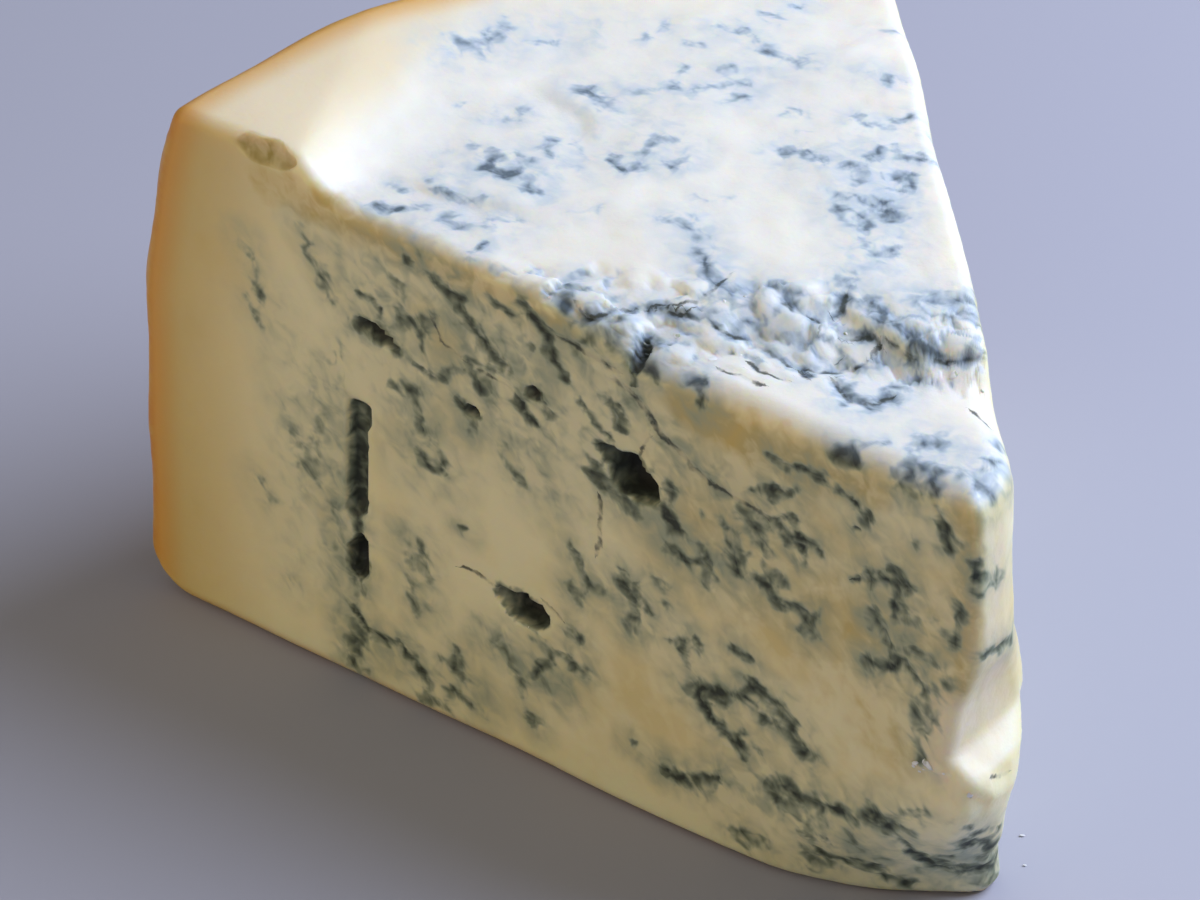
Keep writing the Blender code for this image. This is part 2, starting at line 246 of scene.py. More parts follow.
# Dabs of mould on the left cut: half width, strength, and the points that the dab runs
# through as distance from the axis and height. Strength 1 is solid mould, 0.5 loose flecks.
LEFT_MOULD = (
    (2.0, 0.8, ((6, 55), (4, 57), (1.5, 60.5))),
    (1.8, 0.7, ((7, 24.5), (3.5, 25.5), (1, 28))),
    (1.7, 0.95, ((74.5, 67.5), (72, 66), (69.5, 64), (69, 63))),
    (1.9, 0.9, ((69.5, 70), (68, 67.5), (67.5, 66.5))),
    (1.4, 0.9, ((67.5, 69.5), (66.5, 68.5))),
    (1.4, 1, ((73.5, 59), (71, 58.5))),
    (3.1, 0.85, ((72.5, 57.5), (69, 55.5), (65, 54))),
    (2.7, 1.1, ((61, 56.5), (59, 54.5), (57, 53))),
    (1.9, 0.9, ((60, 60), (58, 58.5))),
    (1.9, 0.85, ((75.5, 41.5), (73, 37.5), (70.5, 36.5))),
    (2.2, 0.9, ((75, 35.5), (74, 34))),
    (2.5, 0.95, ((66.5, 41), (64, 37.5), (64.5, 33))),
    (2.2, 0.95, ((63.5, 39.5), (61.5, 37))),
    (1.7, 0.8, ((60.5, 43), (59, 42.5))),
    (1.5, 0.65, ((58, 40), (57.5, 39))),
    (2.7, 0.85, ((57, 49), (53, 49), (51, 47.5))),
    (2.0, 0.8, ((53, 52.5), (52, 50))),
    (2.4, 0.85, ((49.5, 58.5), (47.5, 55), (47, 50.5))),
    (1.9, 0.7, ((45, 54.5), (47, 52))),
    (2.9, 0.75, ((47, 61.5), (44, 59.5), (42, 56))),
    (1.7, 1, ((42.5, 62), (37.5, 64))),
    (2.2, 1, ((39.5, 62), (37, 59.5), (36, 58))),
    (2.0, 1, ((37.5, 62), (33.5, 60.5))),
    (1.7, 0.65, ((52.5, 59), (50, 59))),
    (1.9, 1, ((42, 72.5), (38, 72.5), (34, 73.5), (31.5, 72), (28, 71.5), (26, 70),
              (25.5, 68.5))),
    (1.7, 0.95, ((27.5, 67), (27, 67))),
    (1.7, 1, ((43, 66.5), (39, 67.5), (37.5, 69))),
    (2.9, 1.05, ((31, 77.5), (28, 79))),
    (3.7, 1, ((20, 78), (18.5, 81), (15, 81))),
    (2.0, 0.95, ((15, 80.5), (15, 78), (13, 73.5), (12.5, 70.5))),
    (2.4, 0.85, ((12.5, 71.5), (11, 72))),
    (1.5, 0.7, ((17.5, 69), (17, 68.5))),
    (1.9, 1.15, ((8, 69.5), (7, 65.5))),
    (3.7, 0.55, ((6.5, 67), (4.5, 69))),
    (2.5, 0.9, ((43, 52.5), (41, 51), (39, 49), (35.5, 49), (34.5, 46.5))),
    (1.4, 0.8, ((39.5, 54), (38.5, 52.5))),
    (2.4, 0.8, ((33.5, 49.5), (33.5, 46.5))),
    (2.7, 1.05, ((25, 59), (22, 59.5))),
    (1.4, 0.7, ((27.5, 58.5), (25, 59))),
    (1.9, 1, ((21, 63), (19.5, 62), (17.5, 60.5))),
    (2.4, 0.95, ((19.5, 61), (20, 55.5))),
    (2.2, 1, ((24, 53.5), (21.5, 52), (20, 50.5))),
    (2.2, 1.1, ((24, 45.5), (21.5, 46.5), (18, 48), (16.5, 47), (15, 45))),
    (1.5, 0.8, ((17.5, 50.5), (13.5, 51))),
    (2.7, 0.55, ((17.5, 56), (12.5, 56.5))),
    (1.9, 0.8, ((10, 61), (10.5, 57), (10.5, 55))),
    (2.5, 0.6, ((15, 46.5), (15, 42), (14.5, 33.5))),
    (2.7, 0.5, ((13, 46), (11.5, 39.5))),
    (2.7, 0.45, ((11.5, 50.5), (10.5, 47))),
    (1.9, 0.9, ((57, 34.5), (55, 35))),
    (2.0, 0.95, ((54, 35.5), (52.5, 33.5))),
    (1.7, 0.75, ((56, 33), (54.5, 30.5), (53, 29))),
    (2.7, 1.05, ((54, 27.5), (51, 27.5), (48, 29))),
    (2.2, 1, ((52, 26.5), (50.5, 24), (47, 21.5), (44.5, 20.5))),
    (1.5, 0.8, ((44.5, 22.5), (41.5, 22))),
    (1.7, 0.9, ((46.5, 38), (44.5, 36.5))),
    (2.5, 1.05, ((44, 32.5), (41, 31.5), (38.5, 30.5), (36.5, 28.5))),
    (2.2, 0.95, ((45, 29.5), (42, 28), (38.5, 27), (36, 27), (33.5, 24.5))),
    (1.7, 0.75, ((75.5, 27.5), (73.5, 26))),
    (1.9, 0.9, ((77.5, 22.5), (73, 21.5))),
    (2.4, 1, ((115, 21.5), (114.5, 17.5))),
    (2.0, 1, ((115.4, 31.5), (115, 26.5))),
    (2.0, 1, ((115.5, 13.5), (113.5, 10.5))),
    (3.2, 0.95, ((115, 9), (115, 3))),
    (2.5, 0.6, ((115, 4), (114.5, 2.5))),
    (2.0, 0.95, ((113, 10), (109.5, 10), (106.5, 9.5))),
    (2.2, 1.1, ((107, 9.5), (104.5, 9))),
    (1.9, 0.8, ((104, 8.5), (101.5, 5.5))),
    (2.2, 0.8, ((98.5, 11.5), (97, 11.5), (94, 9))),
    (1.9, 0.75, ((95.5, 14), (94, 9.5))),
    (2.0, 0.75, ((97.5, 6), (94, 5))),
    (1.4, 0.55, ((91.5, 5), (90.5, 4.5))),
    (2.5, 0.6, ((103, 2.5), (97.5, 2.5))),
    (2.5, 0.65, ((105, 28.5), (104.5, 24), (104, 17.5))),
    (2.5, 0.75, ((102.5, 30), (102, 25.5))),
    (3.4, 0.6, ((87.5, 18.5), (86, 16), (84, 13.5))),
    (2.2, 0.9, ((82.5, 16), (79, 19.5))),
    (1.7, 0.9, ((79, 22), (75.5, 21.5), (72.5, 21))),
    (1.9, 0.8, ((75, 27.5), (74, 26.5))),
    (2.0, 0.85, ((83, 9), (81.5, 7.5))),
    (2.4, 0.6, ((81, 23), (79.5, 21))),
    (1.7, 0.8, ((64, 12), (62, 11.5))),
    (2.4, 1, ((57.5, 10.5), (53.5, 10), (49, 13))),
    (2.5, 0.8, ((45.5, 5), (40.5, 5.5))),
    (2.5, 0.9, ((38, 17), (34, 17), (31, 17.5), (27, 17.5), (24.5, 17.5), (21.5, 19.5))),
    (3.4, 1, ((23, 19), (20, 20))),
    (2.4, 1.05, ((19.5, 19), (17, 17), (14, 16), (11.5, 15.5), (8.5, 16.5))),
    (2.2, 0.8, ((39.5, 15), (35.5, 14), (33, 11.5))),
    (1.7, 0.8, ((17.5, 19.5), (14, 20))),
    (2.7, 0.55, ((16.5, 23), (14, 23))),
    (2.5, 0.9, ((33.5, 8.5), (30, 8), (25.5, 9.5), (22, 10.5), (19, 10), (15.5, 10.5))),
    (3.7, 0.7, ((31.5, 7), (29, 7.5))),
    (2.0, 0.6, ((30.5, 14.5), (29, 10.5))),
    (2.0, 0.6, ((26.5, 14.5), (24.5, 13))),
    (4.4, 0.85, ((11, 17), (7, 17.5), (2, 19))),
    (2.7, 0.95, ((7, 16.5), (3, 19.5))),
    (3.4, 0.85, ((7, 22), (3.5, 23.5), (1.5, 22))),
    (1.7, 0.8, ((105.5, 79), (102.5, 78.5), (100, 77.5), (98, 77))),
    (2.0, 1.05, ((98.5, 77), (95.5, 76.5))),
    (2.4, 0.85, ((95, 75), (93.5, 73), (92, 70.5))),
    (2.5, 0.9, ((92, 71.5), (89, 69.5), (87.5, 67.5))),
    (1.7, 0.75, ((91.5, 78.5), (88, 78.5), (86.5, 77.5))),
    (2.4, 1.1, ((85, 79.5), (83, 78.5), (81, 77))),
    (2.4, 1.15, ((81, 77), (79.5, 74), (77.5, 71.5))),
    (1.7, 0.75, ((85, 74.5), (83.5, 73.5))),
    (2.7, 0.9, ((93.5, 66), (91.5, 63))),
    (2.0, 0.8, ((90, 66), (87.5, 67.5))),
    (2.4, 1, ((85.5, 63.5), (84, 62.5), (83, 61))),
    (1.7, 0.9, ((81, 64.5), (80, 63.5))),
    (1.7, 1.1, ((83, 66.5), (82, 65.5))),
    (1.9, 1.05, ((95.5, 58), (93, 58), (94, 55))),
    (1.7, 0.85, ((113.5, 69.5), (112, 69.5), (110.5, 68))),
    (2.4, 0.6, ((107.5, 75.5), (107, 72), (107, 67))),
    (2.4, 1.15, ((114, 65), (112, 64.5), (109, 64.5), (108, 63))),
    (2.4, 0.7, ((106, 68.5), (101, 70.5))),
    (2.4, 0.7, ((102.5, 70), (102, 66))),
    (2.0, 0.8, ((103.5, 61), (100, 61.5), (97, 63.5))),
    (2.4, 0.7, ((108, 56.5), (103.5, 57), (103, 51), (101, 50))),
    (3.1, 0.85, ((102.5, 46.5), (98.5, 46.5))),
    (2.0, 0.75, ((88, 53.5), (86.5, 51.5), (85, 49.5))),
    (2.9, 0.6, ((75.5, 76.5), (72.5, 80))),
    (1.5, 0.75, ((95.5, 36.5), (94.5, 36.5))),
    (1.9, 0.5, ((135.5, 70.5), (134, 67), (132, 61))),
    (2.0, 0.45, ((134.5, 61), (133, 57.5))),
    (1.9, 0.6, ((125, 77), (123, 74.5), (121, 72))),
    (2.0, 0.5, ((121, 72), (119.5, 67))),
    (2.4, 0.4, ((122, 44.5), (123, 35), (120.5, 30.5))),
    (2.4, 0.5, ((126, 40), (124.5, 34))),
    (2.7, 0.45, ((133, 28), (131.5, 26))),
    (2.5, 0.45, ((120, 31), (118.5, 23.5))),
    (2.0, 0.45, ((127.5, 12.5), (126.5, 11.5))),
    (2.4, 0.45, ((118, 58.5), (119, 50.5))),
)

# Grey-green stain in the paste round the mould of the left cut, in the same terms.
LEFT_STAIN = (
    (9.0, 0.7, ((109, 76), (107, 67), (104, 56))),
    (9.0, 0.8, ((104, 80), (95, 76), (86, 70), (80, 66))),
    (13.0, 0.6, ((113, 74), (106, 62), (102, 48))),
    (12.0, 0.6, ((96, 72), (90, 62), (80, 52))),
    (8.0, 0.65, ((96, 66), (88, 62), (80, 60))),
    (8.0, 0.75, ((80, 77), (68, 74), (55, 65), (42, 61))),
    (8.0, 0.75, ((72, 62), (59, 52), (46, 50))),
    (7.0, 0.8, ((90, 19), (84, 17), (77, 16))),
    (7.0, 0.75, ((120, 52), (119, 36), (117, 12))),
    (9.0, 0.5, ((126, 44), (124, 32))),
    (7.0, 0.6, ((105, 30), (102, 20))),
    (8.0, 0.65, ((112, 8), (100, 8), (92, 8))),
    (7.0, 0.65, ((72, 38), (62, 35))),
    (6.0, 0.5, ((56, 32), (50, 24))),
    (6.0, 0.5, ((46, 36), (38, 28))),
    (8.0, 0.6, ((24, 58), (15, 48), (11, 34))),
    (3.5, 0.8, ((15.5, 50), (15, 42), (14, 34))),
    (8.0, 0.8, ((46, 14), (30, 14), (14, 14), (4, 17))),
    (6.0, 0.9, ((7, 21), (2, 19))),
    (9.0, 0.35, ((130, 60), (124, 40), (126, 20))),
    (6.0, 0.55, ((42, 72), (30, 71))),
)

# Hairline cracks of the left cut, in the same terms without strength.
LEFT_CRACKS = (
    (0.5, ((71, 52.5), (70.8, 48), (71, 43.5))),
    (0.4, ((68.5, 74), (65, 72.5), (62.5, 70.5), (60.5, 68), (57.5, 66.5), (55, 65),
           (51.5, 63.5), (48.5, 63), (45, 63), (42.5, 62))),
    (0.3, ((64.5, 62.5), (62.5, 66.5))),
    (0.3, ((95.5, 66), (92.5, 66), (87.5, 65), (85, 63))),
    (0.3, ((101, 70.5), (99.5, 67.5), (96, 66.5), (93.5, 66))),
    (0.35, ((95, 29.5), (92, 29.5), (89, 29))),
    (0.35, ((80, 30), (77.5, 28.5))),
    (0.35, ((79.5, 76.5), (76.5, 77), (73, 76.5), (68.5, 75.5))),
    (0.3, ((3, 35.5), (0.5, 38))),
    (0.35, ((27, 58.5), (25, 59))),
    (0.3, ((113, 10), (109.5, 10), (106.5, 9.5))),
)

# The same three tables for the top, their points on the plan.
TOP_MOULD = (
    (3.4, 0.6, ((-11.5, 140), (-10.5, 136), (-5, 139), (-3, 140.5))),
    (1.7, 0.85, ((-5, 139), (-3.5, 140))),
    (1.9, 0.5, ((-3.5, 135), (3, 132))),
    (2.7, 0.6, ((14, 128.5), (19, 129.5))),
    (2.7, 0.5, ((18.5, 123), (19.5, 122))),
    (2.0, 0.85, ((25.5, 125.5), (27.5, 123.5), (27.5, 119.5))),
    (3.1, 0.5, ((34, 126), (33.5, 123))),
    (2.0, 0.8, ((38, 126), (39, 125))),
    (3.2, 0.65, ((27.5, 116), (28.5, 112.5), (32, 110.5))),
    (2.2, 0.75, ((38, 104), (39.5, 103), (40.5, 99.5))),
    (2.5, 0.35, ((46, 112.5), (47.5, 111.5))),
    (2.0, 0.7, ((19, 113.5), (21, 114))),
    (2.0, 0.75, ((11, 109.5), (13.5, 111), (17.5, 111), (20.5, 110))),
    (2.2, 0.7, ((17, 107.5), (19, 105))),
    (2.7, 0.5, ((5.5, 114.5), (10.5, 113.5), (14.5, 117.5))),
    (3.1, 0.75, ((-2, 119.5), (0, 116.5), (-1, 112.5))),
    (2.0, 0.9, ((-25, 107), (-22.5, 109.5), (-21, 109))),
    (2.2, 1.1, ((-24, 107.5), (-23.5, 104.5), (-20.5, 104.5))),
    (1.7, 0.9, ((-19, 108), (-18, 105.5), (-15, 106), (-12.5, 110), (-11.5, 109))),
    (1.9, 0.95, ((-19.5, 102.5), (-22, 99.5), (-20.5, 97.5))),
    (2.9, 0.45, ((-19.5, 123), (-17.5, 119), (-15.5, 119))),
    (2.0, 0.7, ((-15, 117.5), (-12, 118.5))),
    (2.0, 0.5, ((-23.5, 113.5), (-22.5, 112))),
    (1.9, 1.05, ((-7, 101), (-7, 97.5), (-4.5, 97))),
    (2.7, 0.85, ((-2.5, 100.5), (1, 102), (3.5, 101))),
    (2.2, 0.95, ((-0.5, 95.5), (2.5, 96))),
    (1.5, 0.8, ((-33, 107.5), (-33, 103), (-31, 101.5), (-29, 99.5))),
    (3.4, 0.55, ((-38.5, 102.5), (-35.5, 99.5), (-34.5, 95.5))),
    (3.4, 0.55, ((-31.5, 94), (-28, 93.5))),
    (1.5, 1, ((-34.5, 89.5), (-37, 88))),
    (2.4, 0.7, ((-8, 83.5), (-4.5, 81), (-6, 80.5), (-6.5, 76), (-8.5, 71.5))),
    (2.4, 1, ((15.5, 91), (18.5, 90.5), (19.5, 86.5))),
    (2.2, 0.8, ((29.5, 93.5), (32, 90), (35, 90), (37, 90))),
    (2.7, 0.5, ((21, 93.5), (22, 91.5))),
    (2.2, 0.85, ((26.5, 83.5), (30, 84.5), (30, 81.5), (33.5, 79))),
    (2.0, 1, ((22, 83.5), (23.5, 81.5), (21, 79))),
    (1.7, 0.95, ((25.5, 78.5), (29, 77.5), (26.5, 74), (25, 74.5))),
    (2.7, 0.9, ((16.5, 77), (20, 74.5), (20, 72))),
    (2.7, 1.2, ((21.5, 72.5), (22.5, 69.5), (20.5, 69.5))),
    (3.4, 0.75, ((15, 72.5), (17, 70))),
    (2.5, 0.8, ((17, 69.5), (14, 65), (14, 61), (16, 60.5))),
    (3.1, 0.35, ((-0.5, 85.5), (2, 83.5))),
    (2.7, 0.4, ((21.5, 100.5), (24, 98))),
    (1.7, 0.6, ((-9.5, 107.5), (-9, 107))),
    (2.0, 0.4, ((-19.5, 91), (-15.5, 90.5))),
    (2.0, 1, ((-42.5, 106), (-42, 104.5), (-41.5, 103.5))),
    (1.7, 0.6, ((-38, 109), (-37, 107))),
    (2.2, 1, ((-27.5, 75.5), (-29, 75.5), (-30.5, 73), (-31, 70))),
    (4.1, 0.7, ((-27.5, 67.5), (-26, 64.5), (-25, 61))),
    (2.0, 0.9, ((-29, 68.5), (-26, 67.5), (-22, 66), (-19.5, 64), (-17, 61.5))),
    (1.7, 0.9, ((-17, 61.5), (-15.5, 58.5), (-14.5, 56.5), (-12, 55), (-11, 52.5), (-10, 50),
                (-8, 46.5), (-8, 44))),
    (3.1, 0.75, ((-6, 79), (-8.5, 72), (-10.5, 66.5), (-9.5, 63.5))),
    (3.1, 0.75, ((-9.5, 63.5), (-6, 61.5), (-3, 60))),
    (2.2, 0.95, ((-4, 58.5), (-3, 55), (-1.5, 52.5), (-1, 50.5), (0, 48), (2.5, 45.5))),
    (2.0, 0.8, ((2.5, 45.5), (3.5, 43.5), (4.5, 40), (6.5, 37), (9, 35), (12.5, 34.5), (14, 33))),
    (2.9, 1.1, ((6.5, 51.5), (6.5, 48.5), (7, 45), (7, 40), (7.5, 37))),
    (2.2, 1.05, ((-3.5, 49), (-2.5, 47.5), (-2, 45.5))),
    (1.5, 0.85, ((-8, 46.5), (-6.5, 45.5), (-4, 43.5), (-1, 42.5), (1, 42))),
    (2.7, 1.25, ((-23, 61.5), (-24.5, 60.5), (-27, 58.5))),
    (2.0, 1, ((-25.5, 59), (-26, 54.5))),
    (2.4, 1.15, ((-22, 51), (-23, 48), (-24, 45))),
    (2.7, 0.9, ((-5.5, 41.5), (-5, 39.5), (-6, 36))),
    (2.7, 1, ((-6, 36), (-3.5, 34), (-0.5, 34))),
    (2.2, 0.7, ((0, 37), (3, 35.5), (4.5, 36))),
    (4.1, 0.7, ((11.5, 48), (15.5, 47.5), (19.5, 45.5))),
    (4.1, 0.6, ((9.5, 44.5), (14, 43.5), (17, 40.5))),
    (2.4, 0.85, ((6, 59.5), (8, 58))),
    (2.2, 0.85, ((5.5, 57), (4.5, 53))),
    (1.4, 1, ((4.5, 55), (1.5, 51.5))),
    (2.5, 0.85, ((-11, 56.5), (-9.5, 55.5))),
    (3.2, 0.85, ((-3.5, 22.5), (-1, 23.5), (-0.5, 22))),
    (2.4, 0.85, ((13.5, 62), (16, 61))),
    (2.4, 0.85, ((-1.5, 13.5), (1.5, 14.5), (4, 14))),
    (3.8, 0.85, ((-1.5, 9.5), (1.5, 10.0))),
    (2.4, 0.7, ((6.5, 17.5), (5.5, 15.5))),
    (1.4, 0.7, ((-10, 26), (-7, 25.5))),
    (3.1, 0.5, ((-28.5, 63), (-27.5, 60.5))),
)
TOP_STAIN = (
    (8.0, 0.7, ((-30, 66), (-20, 63), (-10, 56), (-2, 50), (6, 44))),
    (7.0, 0.6, ((-8, 48), (0, 42), (8, 36), (14, 34))),
    (8.0, 0.7, ((8, 49), (15, 47), (19, 44))),
    (8.0, 0.65, ((-6, 79), (-9, 70), (-6, 62))),
    (11.0, 0.65, ((-26, 108), (-18, 103), (-10, 104))),
    (10.0, 0.55, ((-40, 102), (-30, 94))),
    (8.0, 0.5, ((-3, 112), (4, 106))),
    (7.0, 0.6, ((-7, 100), (4, 98))),
    (11.0, 0.55, ((18, 88), (26, 86), (36, 86))),
    (10.0, 0.7, ((24, 80), (20, 70), (12, 60))),
    (10.0, 0.5, ((2, 116), (16, 110), (27, 112))),
    (10.0, 0.5, ((-14, 138), (-2, 136), (10, 132))),
    (9.0, 0.3, ((24, 124), (30, 108))),
    (6.0, 0.6, ((-3, 23), (2, 16))),
    (6.0, 0.9, ((-1, 11), (4, 12))),
    (4.0, 0.6, ((-26, 63), (-24, 58))),
)
TOP_CRACKS = (
    (0.4, ((-29, 68.5), (-26, 67.5), (-22, 66), (-19.5, 64), (-17, 61.5), (-15.5, 58.5),
           (-14.5, 56.5), (-12, 55), (-11, 52.5), (-10, 50), (-8, 46.5), (-8, 44))),
    (0.3, ((-22.5, 66.5), (-17, 63.5), (-14, 63), (-10.5, 65), (-7.5, 66.5))),
    (0.45, ((-4, 58.5), (-3, 55), (-1.5, 52.5), (-1, 50.5), (0, 48), (2.5, 45.5), (3.5, 43.5),
            (4.5, 40), (6.5, 37), (9, 35))),
    (0.5, ((-3.5, 49), (-2.5, 47.5), (-2, 45.5))),
    (0.35, ((-8, 46.5), (-6.5, 45.5), (-4, 43.5), (-1, 42.5), (1, 42))),
    (0.8, ((-23, 61.5), (-24.5, 60.5), (-27, 58.5))),
    (0.35, ((-13.5, 50), (-12.5, 47.5), (-11, 45))),
    (0.3, ((-17.5, 51), (-16, 48.5), (-15, 45.5))),
    (0.4, ((-5.5, 41.5), (-6, 36), (-3.5, 34), (-0.5, 34))),
    (0.4, ((8, 26), (8, 22))),
    (0.5, ((4.5, 55), (1.5, 51.5))),
    (0.3, ((-1, 50.5), (-2.5, 49.5), (-3.5, 49))),
    (0.3, ((3.5, 43.5), (2.5, 43), (1, 42))),
    (0.35, ((-29.5, 71), (-29.5, 69.5))),
)

# Veins drawn by chance on what the photo doesn't show: how many, the distance from the axis
# and the height that they start between and stay between, and their seed.
HIDDEN_CLUSTERS = 24
HIDDEN_STRAY = 14
HIDDEN_CRACKS = 7
HIDDEN_START = ((26.0, 5.0), (140.0, 78.0))
HIDDEN_BOUNDS = ((16.0, 1.0), (147.0, 82.0))
HIDDEN_SEED = 7
# Their headings in degrees, how far they bend in radians, how far a cluster's dabs scatter,
# and how much weaker clusters grow towards the rind. Clusters follow each other along the
# cut by the golden ratio, which spreads them evenly.
HIDDEN_HEADINGS = (205.0, 250.0)
HIDDEN_BEND = 0.7
HIDDEN_SCATTER = 3.4
HIDDEN_RIND_LOSS = 0.45
HIDDEN_RIND_FADE = (105.0, 135.0)
HIDDEN_JITTER = 0.06
GOLDEN_SHARE = 0.618
# What each kind is like, a pair being the least and the largest draw: the stain round a
# cluster, how many dabs it has, the dabs, the stray flecks, and the cracks. Cracks start away
# from the tip and the foot, and a thin line of mould runs along them: half width, strength.
HIDDEN_STAIN_WIDTHS = (6.0, 9.0)
HIDDEN_STAIN_STRENGTH = 0.75
HIDDEN_STAIN_LENGTH = 9.0
HIDDEN_DABS = (2, 6)
HIDDEN_DAB_WIDTHS = (1.7, 2.7)
HIDDEN_DAB_STRENGTHS = (0.8, 1.1)
HIDDEN_DAB_LENGTHS = (2.5, 8.0)
HIDDEN_FLECK_WIDTHS = (1.3, 2.0)
HIDDEN_FLECK_STRENGTHS = (0.6, 0.9)
HIDDEN_FLECK_LENGTH = 1.5
HIDDEN_CRACK_FROM = (0.15, 0.3)
HIDDEN_CRACK_LENGTHS = (16.0, 34.0)
HIDDEN_CRACK_WIDTH = 0.4
HIDDEN_CRACK_MOULD = (1.6, 0.75)

# Paste relief in millimetres: how coarse it is and how far it stands up or down, on the torn
# top, the cuts and the rind.
TORN_COARSE = 9.0
TORN_COARSE_HEIGHT = 0.22
TORN_FINE = 2.4
TORN_FINE_HEIGHT = 0.07
CUT_COARSE = 9.0
CUT_COARSE_HEIGHT = 0.09
CUT_FINE = 2.2
CUT_FINE_HEIGHT = 0.045
RIND_COARSE = 11.0
RIND_COARSE_HEIGHT = 0.3
RIND_FINE = 2.6
RIND_FINE_HEIGHT = 0.08
# How squarely a face looks up to count as the top, or away from the axis to count as the
# rind, how far out the rind begins, and how much calmer the smooth corner and the pillow are.
TOP_LEAN = (0.35, 0.8)
RIND_LEAN = (0.75, 0.95)
RIND_REACH = (120.0, 140.0)
CORNER_CALM = 0.8
CORNER_CALM_SPAN = (-3.0, 2.0)
PILLOW_CALM = 0.75
PILLOW_CALM_SPAN = (4.0, 9.0)

# The step's flakes: where they lie past the step, the wider zone of their middles on the
# plan, how they tilt, stand up, fray and stretch, and the clefts between them.
FLAKES_FADE_IN = (-15.0, -9.0)
FLAKES_FADE_OUT = (2.0, 7.0)
FLAKES_ACROSS = (-34.0, 26.0)
FLAKES_PAST = (-16.0, 8.0)
FLAKE_COUNT = 110
FLAKE_SEED = 3
FLAKE_TILT = 0.09
FLAKE_LIFT = 0.35
FLAKE_FRAY = 1.5
FLAKE_GRAIN = 3.0
FLAKE_STRETCH = 1.7
FLAKE_CLEFT_WIDTH = 1.5
FLAKE_CLEFT_DEPTH = 0.3

# How deep the veins sink on the cuts and on the top, how coarse the flecks are that break
# them up and by how much, and over which strength of mould they sink in.
VEIN_SINK = 0.4
VEIN_SINK_TOP = 0.15
VEIN_FLECKS = 2.6
VEIN_FLECKS_SHARE = 0.35
VEIN_SUNK_FROM = (0.45, 0.95)
# The depth of a vein as a share of its sink, and how far it sways about that and how often.
VEIN_DEPTH = 0.7
VEIN_SWAY = 0.6
VEIN_SWAY_SIZE = 1.9
# Cracks: the depth of their groove and how far it reaches, how their width fades beyond their
# ends, away from their line and where a second crack is as near, how far out they are looked
# for, and the half width whose groove has its full depth. A gap of FAR is away from them all.
CRACK_DEPTH = 0.35
CRACK_REACH = 1.6
CRACK_END_FADE = (0.2, 1.2)
CRACK_SIDE_FADE = (0.9, 1.7)
CRACK_RIVAL_FADE = (0.1, 0.9)
CRACK_NEAR = 3.0
CRACK_FULL = 0.5
FAR = 9.0
# How noise frays the lines of mould: how coarse it is and how far it shifts them.
WARP_COARSE = 3.6
WARP_COARSE_SHIFT = 1.1
WARP_FINE = 1.5
WARP_FINE_SHIFT = 0.5
# How strongly mould lines the clefts between flakes, in what patches, and the needle channels
# and the hollows, and how strongly shade is painted into the channels.
CLEFT_MOULD = 0.5
CLEFT_PATCHES = 7.0
CLEFT_PATCHY = (-0.5, 0.4)
CHANNEL_MOULD = 0.88
CHANNEL_MOULD_FADE = (0.1, 0.5)
CHANNEL_SHADE = 0.1
CHANNEL_SHADE_FADE = (0.2, 0.7)
LINING_MOULD = 0.8
# Below 1 these powers make a streak of stain or tint stay strong almost out to its edge, and
# the stain is frayed less than the mould.
STAIN_POWER = 0.8
TINT_POWER = 0.7
STAIN_FRAY = 0.5
# The halo of stain round every dab of mould: its half width as a share of the dab's, what is
# added to that, and its strength as a share of the dab's.
HALO_WIDTH = 1.6
HALO_REACH = 2.2
HALO_SHARE = 0.75

# Crumbs: how deep one sits in what it lies on as a share of its half width, how it may
# stretch along its three axes, how rough it is and how coarsely, how far apart crumbs take
# their roughness, its least size as a share of the largest, and a power that makes more of
# them small.
CRUMB_SUNK = 0.12
CRUMB_STRETCH = ((0.6, 0.5, 0.2), (1.3, 0.9, 0.4))
CRUMB_ROUGHNESS = 0.55
CRUMB_GRAIN = 0.9
CRUMB_APART = 7.3
CRUMB_LEAST = 0.25
CRUMB_SMALLER = 1.4
# Where they lie: past the step, on level paste, and left of the cliff; along the tip's ledge
# and above the foot; and on the floor by the tip, clear of the cheese.
CRUMBS_PAST = (-9.0, 3.0)
CRUMBS_LEVEL = 0.6
CRUMBS_LEFT_OF = 14.0
CRUMBS_BY_LEDGE = 1.6
CRUMBS_ABOVE = 20.0
CRUMBS_FLOOR_X = (-4.0, 22.0)
CRUMBS_FLOOR_Y = (0.0, 30.0)
CRUMBS_CLEAR = 0.8

# Torn ledges: the side they lie on, their rise, how far they reach, and their line.
LEDGES = (
    ("top", 0.5, 6.0, ((-6.5, 121), (-5.3, 115.7), (-4.2, 112.9), (-6.3, 108.8))),
    ("top", 0.5, 6.0, ((-35.0, 107.2), (-33.5, 103.4), (-29.6, 99.3), (-25.3, 95.8))),
    ("left", 1.0, 5.0, ((14.5, 31.5), (11.6, 31.8), (9.3, 32.6), (7.2, 31.6), (3.0, 31.5))),
)
LEDGE_WIDTH = 0.8
# A ledge keeps its full rise out to this share of its reach.
LEDGE_CREST = 0.2

# Paste discoloured on the left cut, and a painted glow of light shining through the paste
# under the top edges and along the tip's edge: half width, strength and line, as for the mould.
LEFT_TAN_AND_GLOW = (
    (7.5, 0.8, ((26.0, 39.0), (19.0, 32.5))),
    (5.0, 0.5, ((103.0, 69.8), (96.7, 67.3))),
    # Painted glow along the edge where the left cut turns into the tip.
    (3.2, 1.2, ((9.9, 77.0), (9.2, 70.0), (9.0, 60.0), (9.0, 52.0), (10.4, 46.0))),
    (20.0, 0.35, ((66.0, 22.0), (45.0, 20.0), (27.0, 28.0))),
    (22.0, 0.75, ((48.0, 58.0), (32.0, 50.0), (16.0, 50.0))),
    # Painted glow under the top edges of the pillow and the plateau.
    (5.0, 1.4, ((55.6, 75.0), (47.1, 73.6), (37.0, 73.4), (26.0, 74.5))),
    (4.0, 1.2, ((131.0, 82.5), (112.0, 81.0), (96.0, 80.0), (78.0, 80.0))),
)
